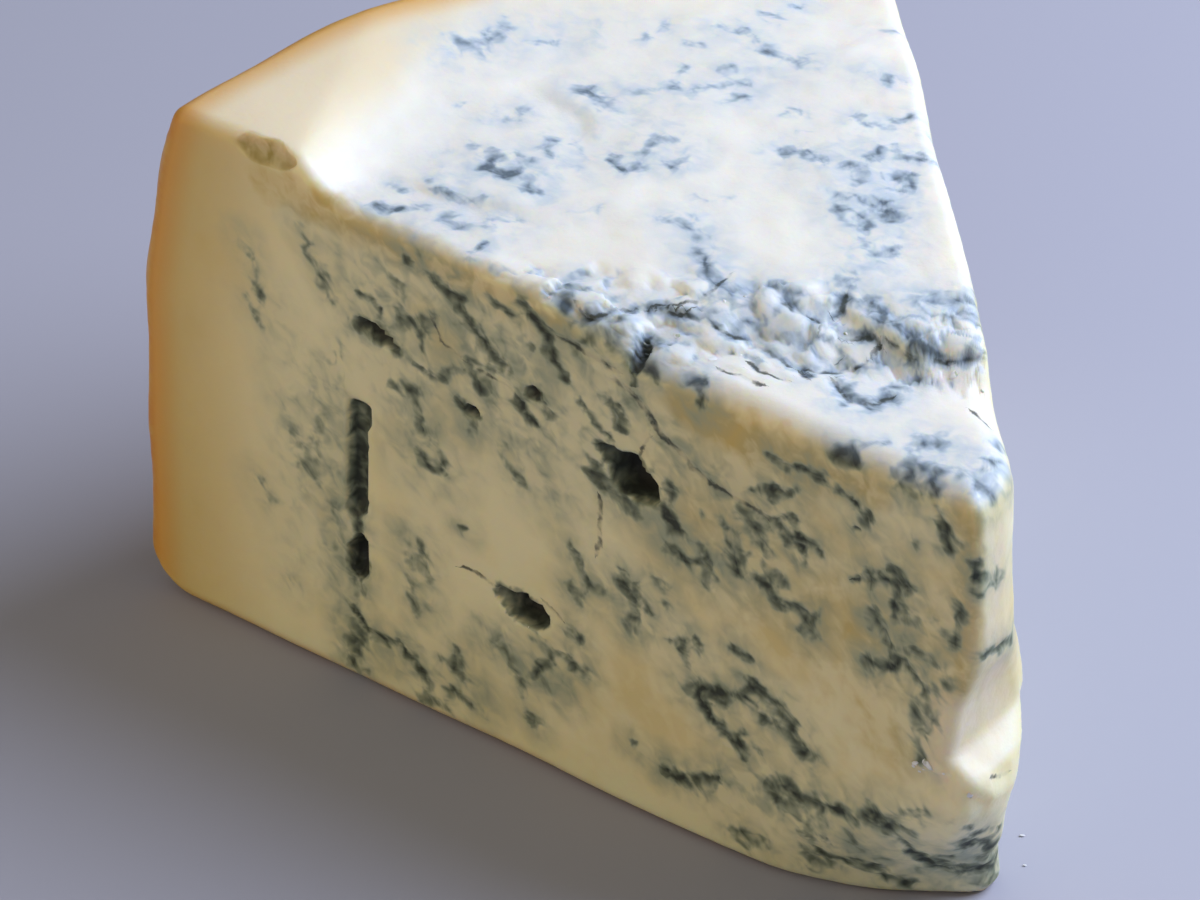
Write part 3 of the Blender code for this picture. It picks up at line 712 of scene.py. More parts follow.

# Freshly broken paste at the tip, in the same terms, and how much of the mould's stain it
# is clear of. Its brightness is also painted light on the tip's facets that face the key light.
LEFT_FRESH_AND_LIT = (
    (6.0, 1.3, ((8.5, 43.5), (7.0, 35.5))),
    (5.0, 0.7, ((4.5, 74.0), (4.5, 60.0), (4.0, 44.0))),
)
FRESH_AND_LIT_CLEARS = 0.6

# The paste's skin: underneath, and as a film that creeps up the foot away from the tip.
SKIN_LEAN = (0.5, 0.9)
SKIN_FILM = 0.7
SKIN_FILM_HEIGHT = (0.4, 2.6)
SKIN_FILM_FROM_TIP = (40.0, 100.0)
# Where the material takes a face for the top, and over which way the smooth corner begins.
TOP_SHOWN = (0.3, 0.8)
CORNER_SHOWN = (-4.0, 4.0)
# Relief and hollows come in from nothing at the floor to all at this height.
FREE_HEIGHT = 1.5

HALF_ANGLE = math.radians(WEDGE_ANGLE / 2.0)
SIN_HALF = math.sin(HALF_ANGLE)
COS_HALF = math.cos(HALF_ANGLE)

# The noise's table of whole numbers and its slopes at the corners of the cells, how far each
# seed shifts it, and what brings it to about -1 to 1.
NOISE_TABLE = 1024
NOISE_SEED = 41
NOISE_SHIFT = 31.7
NOISE_GAIN = 1.7
noise_draw = np.random.default_rng(NOISE_SEED)
NOISE_ORDER = noise_draw.permutation(NOISE_TABLE)
NOISE_SLOPES = noise_draw.normal(size=(NOISE_TABLE, 3))
NOISE_SLOPES /= np.linalg.norm(NOISE_SLOPES, axis=1)[:, None]


def linear(code):
    """The linear red, green and blue of an sRGB hex colour."""
    parts = np.array([int(code[i:i + 2], 16) for i in (1, 3, 5)]) / 255.0
    straight = np.where(parts <= 0.04045, parts / 12.92, ((parts + 0.055) / 1.055) ** 2.4)
    return tuple(float(part) for part in straight)


def ramp(value, start, end):
    """A smooth rise from 0 at start to 1 at end."""
    t = np.clip((value - start) / (end - start), 0.0, 1.0)
    return t * t * (3.0 - 2.0 * t)


def wave(x, y, z):
    """Three crossed slow waves, between about -1 and 1."""
    k = 2.0 * math.pi / WAVE_LENGTH
    first = np.sin(k * (x + 0.4 * z) + 0.7) * np.cos(0.83 * k * (y - 0.5 * z))
    second = np.sin(0.61 * k * (y + 0.7 * x) + 2.1) * np.cos(0.77 * k * z + 0.3)
    third = np.sin(1.37 * k * (z - 0.3 * y) + 1.3) * np.cos(1.21 * k * x + 1.9)
    return (first + second + 0.7 * third) / 2.0


def past_step(x, y):
    """How far a point of the plan lies past the torn step, towards the tip."""
    cliff = ramp(x, *CLIFF_SPAN)
    return (STEP_TOWARDS_TIP[0] * x + STEP_TOWARDS_TIP[1] * y + STEP_FROM_AXIS
            - CLIFF_SHIFT * cliff)


def into_corner(x, y):
    """How far a point of the plan lies inside the smooth raised corner by the rind."""
    return CORNER_TOWARDS[0] * x + CORNER_TOWARDS[1] * y - CORNER_FROM_AXIS


def top_height(x, y):
    """The height of the top face over the plan."""
    spread = CORNER_SCARP_SPREAD * np.maximum(x - CORNER_EDGE_X, 0.0)
    scarp = ramp(into_corner(x, y), -CORNER_SCARP - spread, CORNER_SCARP_TOP + spread)
    along_right = SIN_HALF * x + COS_HALF * y
    fall = REAR_FALL * ramp(along_right, *REAR_FALL_ALONG) * ramp(x, *REAR_FALL_ACROSS)
    plateau = PLATEAU_HEIGHT + PLATEAU_TILT * x + CORNER_RISE * scarp - fall

    past = past_step(x, y)
    cliff = ramp(x, *CLIFF_SPAN)
    back = STEP_BACK + (CLIFF_HALF_WIDTH - STEP_BACK) * cliff
    front = STEP_FRONT + (CLIFF_HALF_WIDTH - STEP_FRONT) * cliff
    torn = np.clip((past + back) / (back + front), 0.0, 1.0)
    torn = torn * torn * (3.0 - 2.0 * torn)
    k = 2.0 * math.pi / LUMP_LENGTH
    lumps = np.sin(k * (x - 0.4 * y)) * np.cos(0.8 * k * (y + 0.6 * x) + 0.9) * (1.0 - cliff)
    slope_share = 4.0 * torn * (1.0 - torn)
    return plateau + (PILLOW_HEIGHT - plateau) * torn + LUMP_HEIGHT * slope_share * lumps


def rounded_meet(first, second, radius):
    """The part inside both faces, its shared edge rounded. Inside is below zero."""
    a = np.maximum(first + radius, 0.0)
    b = np.maximum(second + radius, 0.0)
    return np.hypot(a, b) - radius + np.minimum(np.maximum(first, second) + radius, 0.0)


def rind_radius(z):
    """The wheel's radius at a height: it leans in towards the top."""
    lean = np.clip((z - LEAN_FROM) / LEAN_HEIGHT, 0.0, 1.2)
    return WHEEL_RADIUS - WHEEL_LEAN * lean**LEAN_POWER


def at_height(z, table):
    """A table's value at a height, straight between its rows of height and value."""
    heights, values = zip(*table)
    return np.interp(z, heights, values)


def form(x, y, z):
    """Below zero inside the cheese and above it outside, near the true distance at a face."""
    along_left = -SIN_HALF * x + COS_HALF * y
    along_right = SIN_HALF * x + COS_HALF * y
    tuck = (1.0 - ramp(z, 0.0, TUCK_HEIGHT)) * (1.0 - ramp(along_left, *TUCK_FADE))
    pressed = at_height(z, PRESSED_OUT) * (1.0 - ramp(along_right, *PRESSED_FADE))
    broken = BREAK_DEPTH * (1.0 - ramp(z, 0.0, BREAK_HEIGHT))
    uneven = WAVE_HEIGHT * wave(x, y, z)

    rind = np.hypot(x, y) - rind_radius(z) + uneven
    left = -COS_HALF * x - SIN_HALF * y + TUCK * tuck + uneven
    right = COS_HALF * x - SIN_HALF * y - pressed + uneven
    nose = at_height(z, NOSE_BREAK) - along_left + uneven
    facet = FACET_TOWARDS[0] * x + FACET_TOWARDS[1] * y + broken
    top = z - top_height(x, y) + uneven

    cuts = rounded_meet(left, right, TIP_ROUND)
    cuts = rounded_meet(cuts, nose, NOSE_ROUND)
    cuts = rounded_meet(cuts, facet, FACET_ROUND)
    wheel = rounded_meet(rind, -z, RIND_FOOT_ROUND)
    sides = rounded_meet(wheel, cuts, CUT_EDGE_ROUND)
    pillow = ramp(past_step(x, y), *EDGE_ROUND_CHANGE)
    top_round = PLATEAU_EDGE_ROUND + (PILLOW_EDGE_ROUND - PLATEAU_EDGE_ROUND) * pillow
    return rounded_meet(sides, top, top_round)


def form_slope(points):
    """The form's value at each point and its slope there, from small steps both ways."""
    value = form(*points.T)
    slope = np.empty_like(points)
    for axis in range(3):
        step = np.zeros(3)
        step[axis] = SLOPE_STEP
        ahead = form(*(points + step).T)
        behind = form(*(points - step).T)
        slope[:, axis] = (ahead - behind) / (2.0 * SLOPE_STEP)
    return value, slope


def slide_to_surface(points, slides):
    """Slides each point along the slope of the form until the form is zero there: each time
    by the form's value over the slope's square."""
    for _ in range(slides):
        value, slope = form_slope(points)
        steepness = np.maximum((slope**2).sum(axis=1), LEAST_STEEPNESS)
        points = points - slope * (value / steepness)[:, None]
    points[np.abs(points[:, 2]) < SLOPE_STEP, 2] = 0.0
    return points


def to_part(points):
    """From millimetres in the wheel's frame to metres in the part's frame."""
    return (points + np.array([AXIS_TO_ORIGIN[0], AXIS_TO_ORIGIN[1], 0.0])) * MM


def from_part(points):
    """From metres in the part's frame to millimetres in the wheel's frame."""
    return points / MM - np.array([AXIS_TO_ORIGIN[0], AXIS_TO_ORIGIN[1], 0.0])


def grain(points, size, seed):
    """Smooth noise from about -1 to 1: a random slope at each corner of a lattice of cells of
    the given size, the eight slopes blended across the cell by a fifth-power ease."""
    place = points / size + NOISE_SHIFT * seed
    cell = np.floor(place).astype(np.int64)
    inside = place - cell
    ease = inside**3 * (inside * (inside * 6.0 - 15.0) + 10.0)
    total = np.zeros(len(points))
    for corner in range(8):
        offset = np.array([corner & 1, (corner >> 1) & 1, corner >> 2])
        at = (cell + offset) % NOISE_TABLE
        row = NOISE_ORDER[(at[:, 0] + seed) % NOISE_TABLE]
        row = NOISE_ORDER[(row + at[:, 1]) % NOISE_TABLE]
        row = NOISE_ORDER[(row + at[:, 2]) % NOISE_TABLE]
        rise = ((inside - offset) * NOISE_SLOPES[row]).sum(axis=1)
        share = np.where(offset == 1, ease, 1.0 - ease).prod(axis=1)
        total += share * rise
    return total * NOISE_GAIN


def grains(points, size, layers, seed):
    """Layers of smooth noise, each half the size and half the height of the one before."""
    total = np.zeros(len(points))
    for layer in range(layers):
        total += grain(points, size / 2**layer, seed + layer) / 2**layer
    return total


def block_lattice(cells, rim):
    """A block's surface as counts of cells along its three axes, with its four-sided faces
    turned outwards. The underside keeps a rim of cells; the last face fills the rest."""
    sheets = []
    for axis in range(3):
        first = (axis + 1) % 3
        second = (axis + 2) % 3
        u, v = np.meshgrid(np.arange(cells[first]), np.arange(cells[second]), indexing="ij")
        u = u.ravel()
        v = v.ravel()
        for side in (0, cells[axis]):
            kept = np.ones(len(u), bool)
            if axis == 2 and side == 0:
                from_ends = np.minimum(u, cells[first] - 1 - u)
                from_sides = np.minimum(v, cells[second] - 1 - v)
                kept = np.minimum(from_ends, from_sides) < rim
            quads = np.zeros((kept.sum(), 4, 3), np.int64)
            for corner, (du, dv) in enumerate(((0, 0), (1, 0), (1, 1), (0, 1))):
                quads[:, corner, axis] = side
                quads[:, corner, first] = u[kept] + du
                quads[:, corner, second] = v[kept] + dv
            sheets.append(quads if side else quads[:, ::-1])
    quads = np.concatenate(sheets)

    low = np.array([rim, rim])
    high = np.array([cells[0] - rim, cells[1] - rim])
    ahead = np.arange(low[1], high[1])
    right = np.arange(low[0], high[0])
    loop = np.concatenate([
        np.stack([np.full_like(ahead, low[0]), ahead], axis=1),
        np.stack([right, np.full_like(right, high[1])], axis=1),
        np.stack([np.full_like(ahead, high[0]), ahead[::-1] + 1], axis=1),
        np.stack([right[::-1] + 1, np.full_like(right, low[1])], axis=1),
    ])

    width = cells[1] + 1
    height = cells[2] + 1
    keys = (quads[..., 0] * width + quads[..., 1]) * height + quads[..., 2]
    used, faces = np.unique(keys, return_inverse=True)
    faces = faces.reshape(keys.shape)
    counts = np.stack([used // (width * height), used // height % width, used % height], axis=1)
    underside = np.searchsorted(used, (loop[:, 0] * width + loop[:, 1]) * height)
    return counts, faces, underside


def crowd(t, amount):
    """Moves lattice lines that are even between 0 and 1 towards both ends."""
    return t - amount * np.sin(2.0 * math.pi * t) / (2.0 * math.pi)


def rough_place(counts):
    """Bends the block's lattice into a wedge, its front face wrapped round the tip.

    Each point lies on a straight line from the front curve, a blunt V along the two cuts, to
    the rind's arc, and its height is a share of the top's height there.
    """
    share = counts / np.array(CELLS)
    across = 2.0 * share[:, 0] - 1.0
    along = crowd(share[:, 1], CROWDING_ALONG)
    up = crowd(share[:, 2], CROWDING_UP)
    height = up * PILLOW_HEIGHT
    # A V with a rounded point: 0 in its middle and about 1 at both its ends.
    out = np.sqrt(across**2 + 0.04) - 0.2 * (1.0 - np.abs(across))
    low = 1.0 - ramp(height, 0.0, BREAK_HEIGHT)
    front_x = FRONT_ARM * SIN_HALF * across + at_height(height, PRESSED_OUT) * ramp(
        across, -1.0, 1.0)
    front_y = FRONT_BLUNT + (FRONT_ARM * COS_HALF - FRONT_BLUNT) * out
    front_y = front_y + FRONT_SET_BACK * low * (1.0 - across**2)
    turn = HALF_ANGLE * (2.0 * crowd((across + 1.0) / 2.0, CROWDING_ACROSS) - 1.0)
    x = front_x + along * (WHEEL_RADIUS * np.sin(turn) - front_x)
    y = front_y + along * (WHEEL_RADIUS * np.cos(turn) - front_y)
    return np.stack([x, y, up * top_height(x, y)], axis=1)


def evened(points, faces):
    """Evens the lattice: each point moves part of the way to the middle of its neighbours,
    several times, and then back onto the form's surface."""
    ahead = faces.ravel()
    behind = np.roll(faces, 1, axis=1).ravel()
    ties = np.bincount(ahead, minlength=len(points)) + np.bincount(behind, minlength=len(points))
    fixed = ties < LEAST_TIES
    for _ in range(EVENINGS):
        for _ in range(EVENING_PASSES):
            middle = np.empty_like(points)
            for axis in range(3):
                middle[:, axis] = (np.bincount(ahead, points[behind, axis], len(points))
                                   + np.bincount(behind, points[ahead, axis], len(points)))
            middle /= ties[:, None]
            middle[fixed] = points[fixed]
            points = points + EVENING_SHARE * (middle - points)
        points = slide_to_surface(points, EVENING_SLIDES)
    return points


def sighted(points):
    """Moves points along the photo's lines of sight until they lie on the form's surface."""
    eye = np.array(EYE)
    sight = points - eye
    sight /= np.linalg.norm(sight, axis=1)[:, None]
    for _ in range(SIGHT_STRIDES):
        stride = np.clip(form(*points.T), -SIGHT_STRIDE, SIGHT_STRIDE)
        points = points + sight * stride[:, None]
    return slide_to_surface(points, SETTLING_SLIDES)


def cut_point(side, along, height):
    """Points on one of the flat cuts, from the distance to the axis and the height."""
    turn = -SIN_HALF if side == "left" else SIN_HALF
    along = np.asarray(along, float)
    return np.stack([turn * along, COS_HALF * along, np.broadcast_to(height, along.shape)], axis=-1)


def seen_paths(side, lines):
    """Streaks' lines on the cheese: their bends, placed on the cut or the top as the photo
    shows them, joined by short steps and laid onto the surface."""
    corners = []
    for bends in lines:
        bends = np.array(bends, float)
        if side == "top":
            height = np.minimum(top_height(bends[:, 0], bends[:, 1]), READ_HEIGHT)
            corners.append(np.column_stack([bends, height]))
        else:
            corners.append(cut_point(side, bends[:, 0], bends[:, 1]))
    ends = np.cumsum([len(bends) for bends in lines])[:-1]
    placed = np.concatenate(corners)
    if side == "right":
        placed = slide_to_surface(placed, BEND_SLIDES)
    else:
        placed = sighted(placed)
    return laid_paths(np.split(placed, ends))


def laid_paths(lines):
    """Points at even steps along straight runs between corners, laid on the surface."""
    runs = []
    for corners in lines:
        steps = np.ceil(np.linalg.norm(np.diff(corners, axis=0), axis=1) / PATH_STEP)
        place = np.concatenate([[0.0], np.cumsum(np.maximum(steps, 2.0))])
        spots = np.arange(place[-1] + 1.0)
        runs.append(np.stack([np.interp(spots, place, corners[:, axis]) for axis in range(3)],
                             axis=1))
    ends = np.cumsum([len(run) for run in runs])[:-1]
    return np.split(slide_to_surface(np.concatenate(runs), SETTLING_SLIDES), ends)


def hidden_marks(draw):
    """Marks drawn by chance over the right cut, in the manner of the photographed one:
    clusters of short slanting dabs with a stain round each, stray flecks, and long cracks
    that slant down towards the tip. Returns dabs, stains and cracks as in the tables."""
    dabs = []
    stains = []
    cracks = []
    low, high = np.array(HIDDEN_START)
    span = high - low

    def slanting(start, length):
        heading = math.radians(draw.uniform(*HIDDEN_HEADINGS))
        bends = [start]
        for _ in range(2):
            step = 0.5 * length * np.array([math.cos(heading), math.sin(heading)])
            bends.append(np.clip(bends[-1] + step, *HIDDEN_BOUNDS))
            heading += draw.uniform(-HIDDEN_BEND, HIDDEN_BEND)
        return bends

    for number in range(HIDDEN_CLUSTERS):
        share = np.array([(number * GOLDEN_SHARE + draw.uniform(0.0, HIDDEN_JITTER)) % 1.0,
                          (number + draw.uniform()) / HIDDEN_CLUSTERS])
        middle = low + span * share
        weight = 1.0 - HIDDEN_RIND_LOSS * ramp(middle[0], *HIDDEN_RIND_FADE)
        stains.append((draw.uniform(*HIDDEN_STAIN_WIDTHS), HIDDEN_STAIN_STRENGTH * weight,
                       slanting(middle, HIDDEN_STAIN_LENGTH)))
        for _ in range(int(draw.integers(*HIDDEN_DABS))):
            start = middle + draw.normal(0.0, HIDDEN_SCATTER, 2)
            dabs.append((draw.uniform(*HIDDEN_DAB_WIDTHS),
                         draw.uniform(*HIDDEN_DAB_STRENGTHS) * weight,
                         slanting(start, draw.uniform(*HIDDEN_DAB_LENGTHS))))
    for _ in range(HIDDEN_STRAY):
        dabs.append((draw.uniform(*HIDDEN_FLECK_WIDTHS), draw.uniform(*HIDDEN_FLECK_STRENGTHS),
                     slanting(low + span * draw.uniform(size=2), HIDDEN_FLECK_LENGTH)))
    for _ in range(HIDDEN_CRACKS):
        start = low + span * draw.uniform(HIDDEN_CRACK_FROM, 1.0)
        bends = slanting(start, draw.uniform(*HIDDEN_CRACK_LENGTHS))
        cracks.append((HIDDEN_CRACK_WIDTH, bends))
        dabs.append((*HIDDEN_CRACK_MOULD, bends))
    return dabs, stains, cracks


def gap_to_path(points, path):
    """Each point's distance to a path of straight runs, the offset from its nearest point
    there, and that run's direction."""
    start = path[:-1]
    run = path[1:] - start
    length = np.maximum((run**2).sum(axis=1), 1e-9)
    offset = points[:, None, :] - start[None]
    share = np.clip((offset * run[None]).sum(axis=2) / length[None], 0.0, 1.0)
    away = offset - share[..., None] * run[None]
    gaps = np.linalg.norm(away, axis=2)
    best = gaps.argmin(axis=1)
    pick = np.arange(len(points))
    heading = run / np.sqrt(length)[:, None]
    return gaps[pick, best], away[pick, best], heading[best]


def near_path(points, path, reach):
    """The numbers of the points within a box round the path."""
    low = path.min(axis=0) - reach
    high = path.max(axis=0) + reach
    return np.flatnonzero(((points > low) & (points < high)).all(axis=1))


def streak_field(points, streaks, power=1.0):
    """The strength of the strongest streak at each point. A streak's strength falls from its
    line to nothing at its half width, evenly or by a power of what is left of the way."""
    field = np.zeros(len(points))
    for half_width, strength, path in streaks:
        near = near_path(points, path, half_width)
        if len(near):
            gap = gap_to_path(points[near], path)[0]
            left = strength * np.clip(1.0 - gap / half_width, 0.0, 1.0) ** power
            field[near] = np.maximum(field[near], left)
    return field


def crack_fields(points, normals, cracks):
    """The distance across the nearest crack, below zero on its one side, and that crack's half
    width. The width fades to nothing away from the crack, beyond its ends, and where a second
    crack is as near, so that no false line is drawn between the two."""
    offset = np.full(len(points), FAR)
    width = np.zeros(len(points))
    nearest = np.full(len(points), FAR)
    second = np.full(len(points), FAR)
    for half_width, path in cracks:
        near = near_path(points, path, CRACK_NEAR)
        if len(near) == 0:
            continue
        gap, away, run = gap_to_path(points[near], path)
        across = (np.cross(normals[near], run) * away).sum(axis=1)
        beyond = np.abs((away * run).sum(axis=1))
        fade = (1.0 - ramp(beyond, *CRACK_END_FADE)) * (1.0 - ramp(gap, *CRACK_SIDE_FADE))
        closer = gap < nearest[near]
        second[near] = np.where(closer, nearest[near], np.minimum(second[near], gap))
        chosen = near[closer]
        nearest[chosen] = gap[closer]
        offset[chosen] = across[closer]
        width[chosen] = (half_width * fade)[closer]
    return offset, width * ramp(second - nearest, *CRACK_RIVAL_FADE)


def pit(points, middle, axes, halves, depth, seed):
    """Moves the points round a middle into a ragged pit and tells how near its rim each is.

    The rim is between an ellipse and a rhombus, so the pit's ends are pointed. Where r is the
    share of the way to the rim, a point's offset along the face grows by sin(90 r) / r, which
    crowds points at the rim, and it sinks by the depth times cos(90 r), so the walls stand
    steep. The axes' columns are the pit's length, its way out and its height."""
    local = (points - middle) @ axes
    swell = 1.0 + HOLLOW_ROUGHNESS * grain(points, HOLLOW_GRAIN, seed)
    shares = np.abs(local[:, (0, 2)] / np.array(halves)) ** PIT_ROUNDNESS
    reach = shares.sum(axis=1) ** (1.0 / PIT_ROUNDNESS) / swell
    reach = np.where(np.abs(local[:, 1]) < PIT_BAND, reach, FAR)
    angle = 0.5 * math.pi * np.minimum(reach, 1.0)
    shift = local * (np.sin(angle) / np.maximum(reach, 1e-6) - 1.0)[:, None]
    shift[:, 1] = -depth * np.cos(angle)
    return (shift @ axes.T) * (reach < 1.0)[:, None], reach


def cut_axes(side, tilt):
    """The axes of a hollow in a cut face as columns: along it, out of the face, and up,
    turned in the face by the tilt."""
    turn = -1.0 if side == "left" else 1.0
    away = np.array([turn * SIN_HALF, COS_HALF, 0.0])
    out = np.array([turn * COS_HALF, -SIN_HALF, 0.0])
    up = np.array([0.0, 0.0, 1.0])
    angle = math.radians(tilt)
    along = math.cos(angle) * away + math.sin(angle) * up
    high = -math.sin(angle) * away + math.cos(angle) * up
    return np.stack([along, out, high], axis=1)


def hollow_fields(points):
    """How far the hollows, clefts and chip move each point, how much painted shade darkens it
    in them, how strongly mould lines them and their rims, and how far it lies inside the chip."""
    shift = np.zeros_like(points)
    recess_shade = np.zeros(len(points))
    lining = np.zeros(len(points))
    chip = np.zeros(len(points))
    pits = []
    for side, along, height, half_long, half_high, deep, tilt in HOLLOWS:
        middle = cut_point(side, along, height)
        pits.append((middle, cut_axes(side, tilt), (half_long, half_high), deep, 1.0))
    for start, end, height, half_wide, deep in CLEFTS:
        run = np.array([end[0] - start[0], end[1] - start[1], 0.0])
        length = np.linalg.norm(run)
        along = run / length
        across = np.array([-along[1], along[0], 0.0])
        axes = np.stack([along, np.array([0.0, 0.0, 1.0]), across], axis=1)
        middle = np.array([(start[0] + end[0]) / 2.0, (start[1] + end[1]) / 2.0, height])
        pits.append((middle, axes, (length / 2.0, half_wide), deep, CLEFT_SHADE))
    along, out, up = cut_axes("left", 0.0).T
    lean = math.radians(CHIP_TILT)
    chip_out = math.cos(lean) * out + math.sin(lean) * up
    chip_axes = np.stack([along, chip_out, np.cross(along, chip_out)], axis=1)
    chip_middle = cut_point("left", CHIP_ALONG, CHIP_UP)
    pits.append((chip_middle, chip_axes, CHIP_SIZE[:2], CHIP_SIZE[2], 0.0))
    for number, (middle, axes, halves, deep, shade_strength) in enumerate(pits):
        within = (PIT_NEAR * max(halves)) ** 2
        near = np.flatnonzero(((points - middle) ** 2).sum(axis=1) < within)
        moved, reach = pit(points[near], middle, axes, halves, deep, number)
        shift[near] += moved
        if shade_strength == 0.0:
            # Painted shade: the chip's share of its darker olive colour.
            chip[near] = CHIP_STRENGTH * (1.0 - ramp(reach, *CHIP_FADE))
            continue
        patchy = 1.0 + LINING_PATCHES * grain(points[near], LINING_GRAIN, 95)
        recess_shade[near] = np.maximum(recess_shade[near], shade_strength * (1.0 - ramp(reach, *SHADE_FADE)))
        lined = LINING_MOULD * patchy * (1.0 - ramp(reach, *LINING_FADE))
        lining[near] = np.maximum(lining[near], lined)
    return shift, recess_shade, lining, chip


def needle_fields(points):
    """How far the needle channels move each point and how far inside them it lies. Across
    its width a channel works like a pit, flatter underneath, and it fades out at its ends."""
    shift = np.zeros_like(points)
    within = np.zeros(len(points))
    for number, (side, along, low, high) in enumerate(NEEDLE_GROOVES):
        axes = cut_axes(side, 0.0)
        local = (points - cut_point(side, along, (low + high) / 2.0)) @ axes
        one_wall = NEEDLE_RAGGEDNESS * (local[:, 0] < 0.0)
        ragged = 1.0 + one_wall * grains(points, NEEDLE_GRAIN, 2, 60 + number)
        reach = np.minimum(np.abs(local[:, 0]) / (0.5 * NEEDLE_WIDTH * ragged), 1.0)
        half_high = (high - low) / 2.0
        start, end = (half_high + shift_out for shift_out in NEEDLE_END_FADE)
        ends = 1.0 - ramp(np.abs(local[:, 2]), start, end)
        ends = ends * (np.abs(local[:, 1]) < PIT_BAND)
        angle = 0.5 * math.pi * reach
        groove = ends * np.cos(angle) ** NEEDLE_FLATNESS
        spread = local[:, 0] * (np.sin(angle) / np.maximum(reach, 1e-6) - 1.0) * ends
        spread = np.where(reach < 1.0, spread, 0.0)
        shift += spread[:, None] * axes[:, 0] - (NEEDLE_DEPTH * groove)[:, None] * axes[:, 1]
        within = np.maximum(within, groove)
    return shift, within


def step_flakes(points, on_top):
    """The flakes of the torn step: every point rides on the tilted facet of its nearest seed
    on the plan, and thin clefts run where two facets meet. Returns the height and how close
    to a cleft each point lies."""
    draw = np.random.default_rng(FLAKE_SEED)
    x, y = points.T[:2]
    past = past_step(x, y)
    zone = ramp(past, *FLAKES_FADE_IN) * (1.0 - ramp(past, *FLAKES_FADE_OUT)) * on_top
    near = np.flatnonzero(zone > 0.0)
    across = draw.uniform(*FLAKES_ACROSS, FLAKE_COUNT)
    beyond = draw.uniform(*FLAKES_PAST, FLAKE_COUNT)
    ahead = (beyond - STEP_FROM_AXIS - STEP_TOWARDS_TIP[0] * across) / STEP_TOWARDS_TIP[1]
    tilts = draw.normal(0.0, FLAKE_TILT, (FLAKE_COUNT, 2))
    lifts = draw.uniform(-FLAKE_LIFT, FLAKE_LIFT, FLAKE_COUNT)
    frayed = points[near] + FLAKE_FRAY * np.stack(
        [grain(points[near], FLAKE_GRAIN, 121), grain(points[near], FLAKE_GRAIN, 122),
         np.zeros(len(near))], axis=1)
    away = frayed[:, None, :2] - np.stack([across, ahead], axis=1)[None]
    level = away[..., 0] * STEP_TOWARDS_TIP[1] - away[..., 1] * STEP_TOWARDS_TIP[0]
    down = away[..., 0] * STEP_TOWARDS_TIP[0] + away[..., 1] * STEP_TOWARDS_TIP[1]
    gaps = np.hypot(level / FLAKE_STRETCH, down)
    order = np.argsort(gaps, axis=1)[:, :2]
    pick = np.arange(len(near))
    first = order[:, 0]
    edge = gaps[pick, order[:, 1]] - gaps[pick, first]
    facet = lifts[first] + (tilts[first] * away[pick, first]).sum(axis=1)
    cleft = 1.0 - ramp(edge, 0.0, FLAKE_CLEFT_WIDTH)
    height = np.zeros(len(points))
    height[near] = zone[near] * (facet - FLAKE_CLEFT_DEPTH * cleft)
    line = np.zeros(len(points))
    line[near] = zone[near] * cleft
    return height, line


def ledge_height(points, normals):
    """Torn ledges: one side of a path stands up and the other falls, most at the path and
    fading away from it and beyond its ends."""
    height = np.zeros(len(points))
    for side, rise, reach, bends in LEDGES:
        path = seen_paths(side, [bends])[0]
        near = near_path(points, path, reach)
        gap, away, heading = gap_to_path(points[near], path)
        across = (np.cross(normals[near], heading) * away).sum(axis=1)
        squarely = np.abs(across) / np.maximum(gap, 1e-6)
        lift = np.clip(across / LEDGE_WIDTH, -0.5, 0.5)
        fade = 1.0 - ramp(gap, LEDGE_CREST * reach, reach)
        height[near] += rise * (lift * fade) * squarely
    return height


def relief(points, normals, mould, crack_gap, crack_width):
    """How far the paste stands out from the smooth form: a waxy torn top, flakes in the
    step, faint waves on the cuts, a dimpled rind, sunken veins and cracks. Also how close to
    a cleft between flakes each point lies."""
    x, y = points.T[:2]
    radial = (normals[:, 0] * x + normals[:, 1] * y) / np.maximum(np.hypot(x, y), 1.0)
    on_top = ramp(normals[:, 2], *TOP_LEAN)
    sink = VEIN_SINK + (VEIN_SINK_TOP - VEIN_SINK) * on_top
    on_rind = ramp(radial, *RIND_LEAN) * ramp(np.hypot(x, y), *RIND_REACH)
    on_cut = np.clip(1.0 - on_top - on_rind, 0.0, 1.0)
    smooth_corner = CORNER_CALM * ramp(into_corner(x, y), *CORNER_CALM_SPAN)
    smooth_pillow = PILLOW_CALM * ramp(past_step(x, y), *PILLOW_CALM_SPAN)
    torn = on_top * (1.0 - smooth_corner) * (1.0 - smooth_pillow)

    height = torn * (TORN_COARSE_HEIGHT * grains(points, TORN_COARSE, 3, 21)
                     + TORN_FINE_HEIGHT * grains(points, TORN_FINE, 2, 31))
    flakes, cleft = step_flakes(points, on_top)
    height = height + flakes + ledge_height(points, normals)
    height = height + on_cut * (CUT_COARSE_HEIGHT * grains(points, CUT_COARSE, 2, 61)
                                + CUT_FINE_HEIGHT * grains(points, CUT_FINE, 2, 66))
    height = height + on_rind * (RIND_COARSE_HEIGHT * grains(points, RIND_COARSE, 2, 71)
                                 + RIND_FINE_HEIGHT * grains(points, RIND_FINE, 2, 76))

    flecked = mould + VEIN_FLECKS_SHARE * grains(points, VEIN_FLECKS, 2, 81)
    pitted = ramp(flecked, *VEIN_SUNK_FROM)
    depth = VEIN_DEPTH + VEIN_SWAY * grain(points, VEIN_SWAY_SIZE, 86)
    height = height - sink * pitted * depth
    groove = 1.0 - ramp(np.abs(crack_gap), 0.0, CRACK_REACH)
    height = height - CRACK_DEPTH * groove * ramp(crack_width, 0.0, CRACK_FULL)
    return height, cleft


def warped(points):
    """The points shifted by noise, which frays the lines drawn on them."""
    shift = np.empty_like(points)
    for axis in range(3):
        shift[:, axis] = (WARP_COARSE_SHIFT * grain(points, WARP_COARSE, 101 + axis)
                          + WARP_FINE_SHIFT * grain(points, WARP_FINE, 111 + axis))
    return points + shift


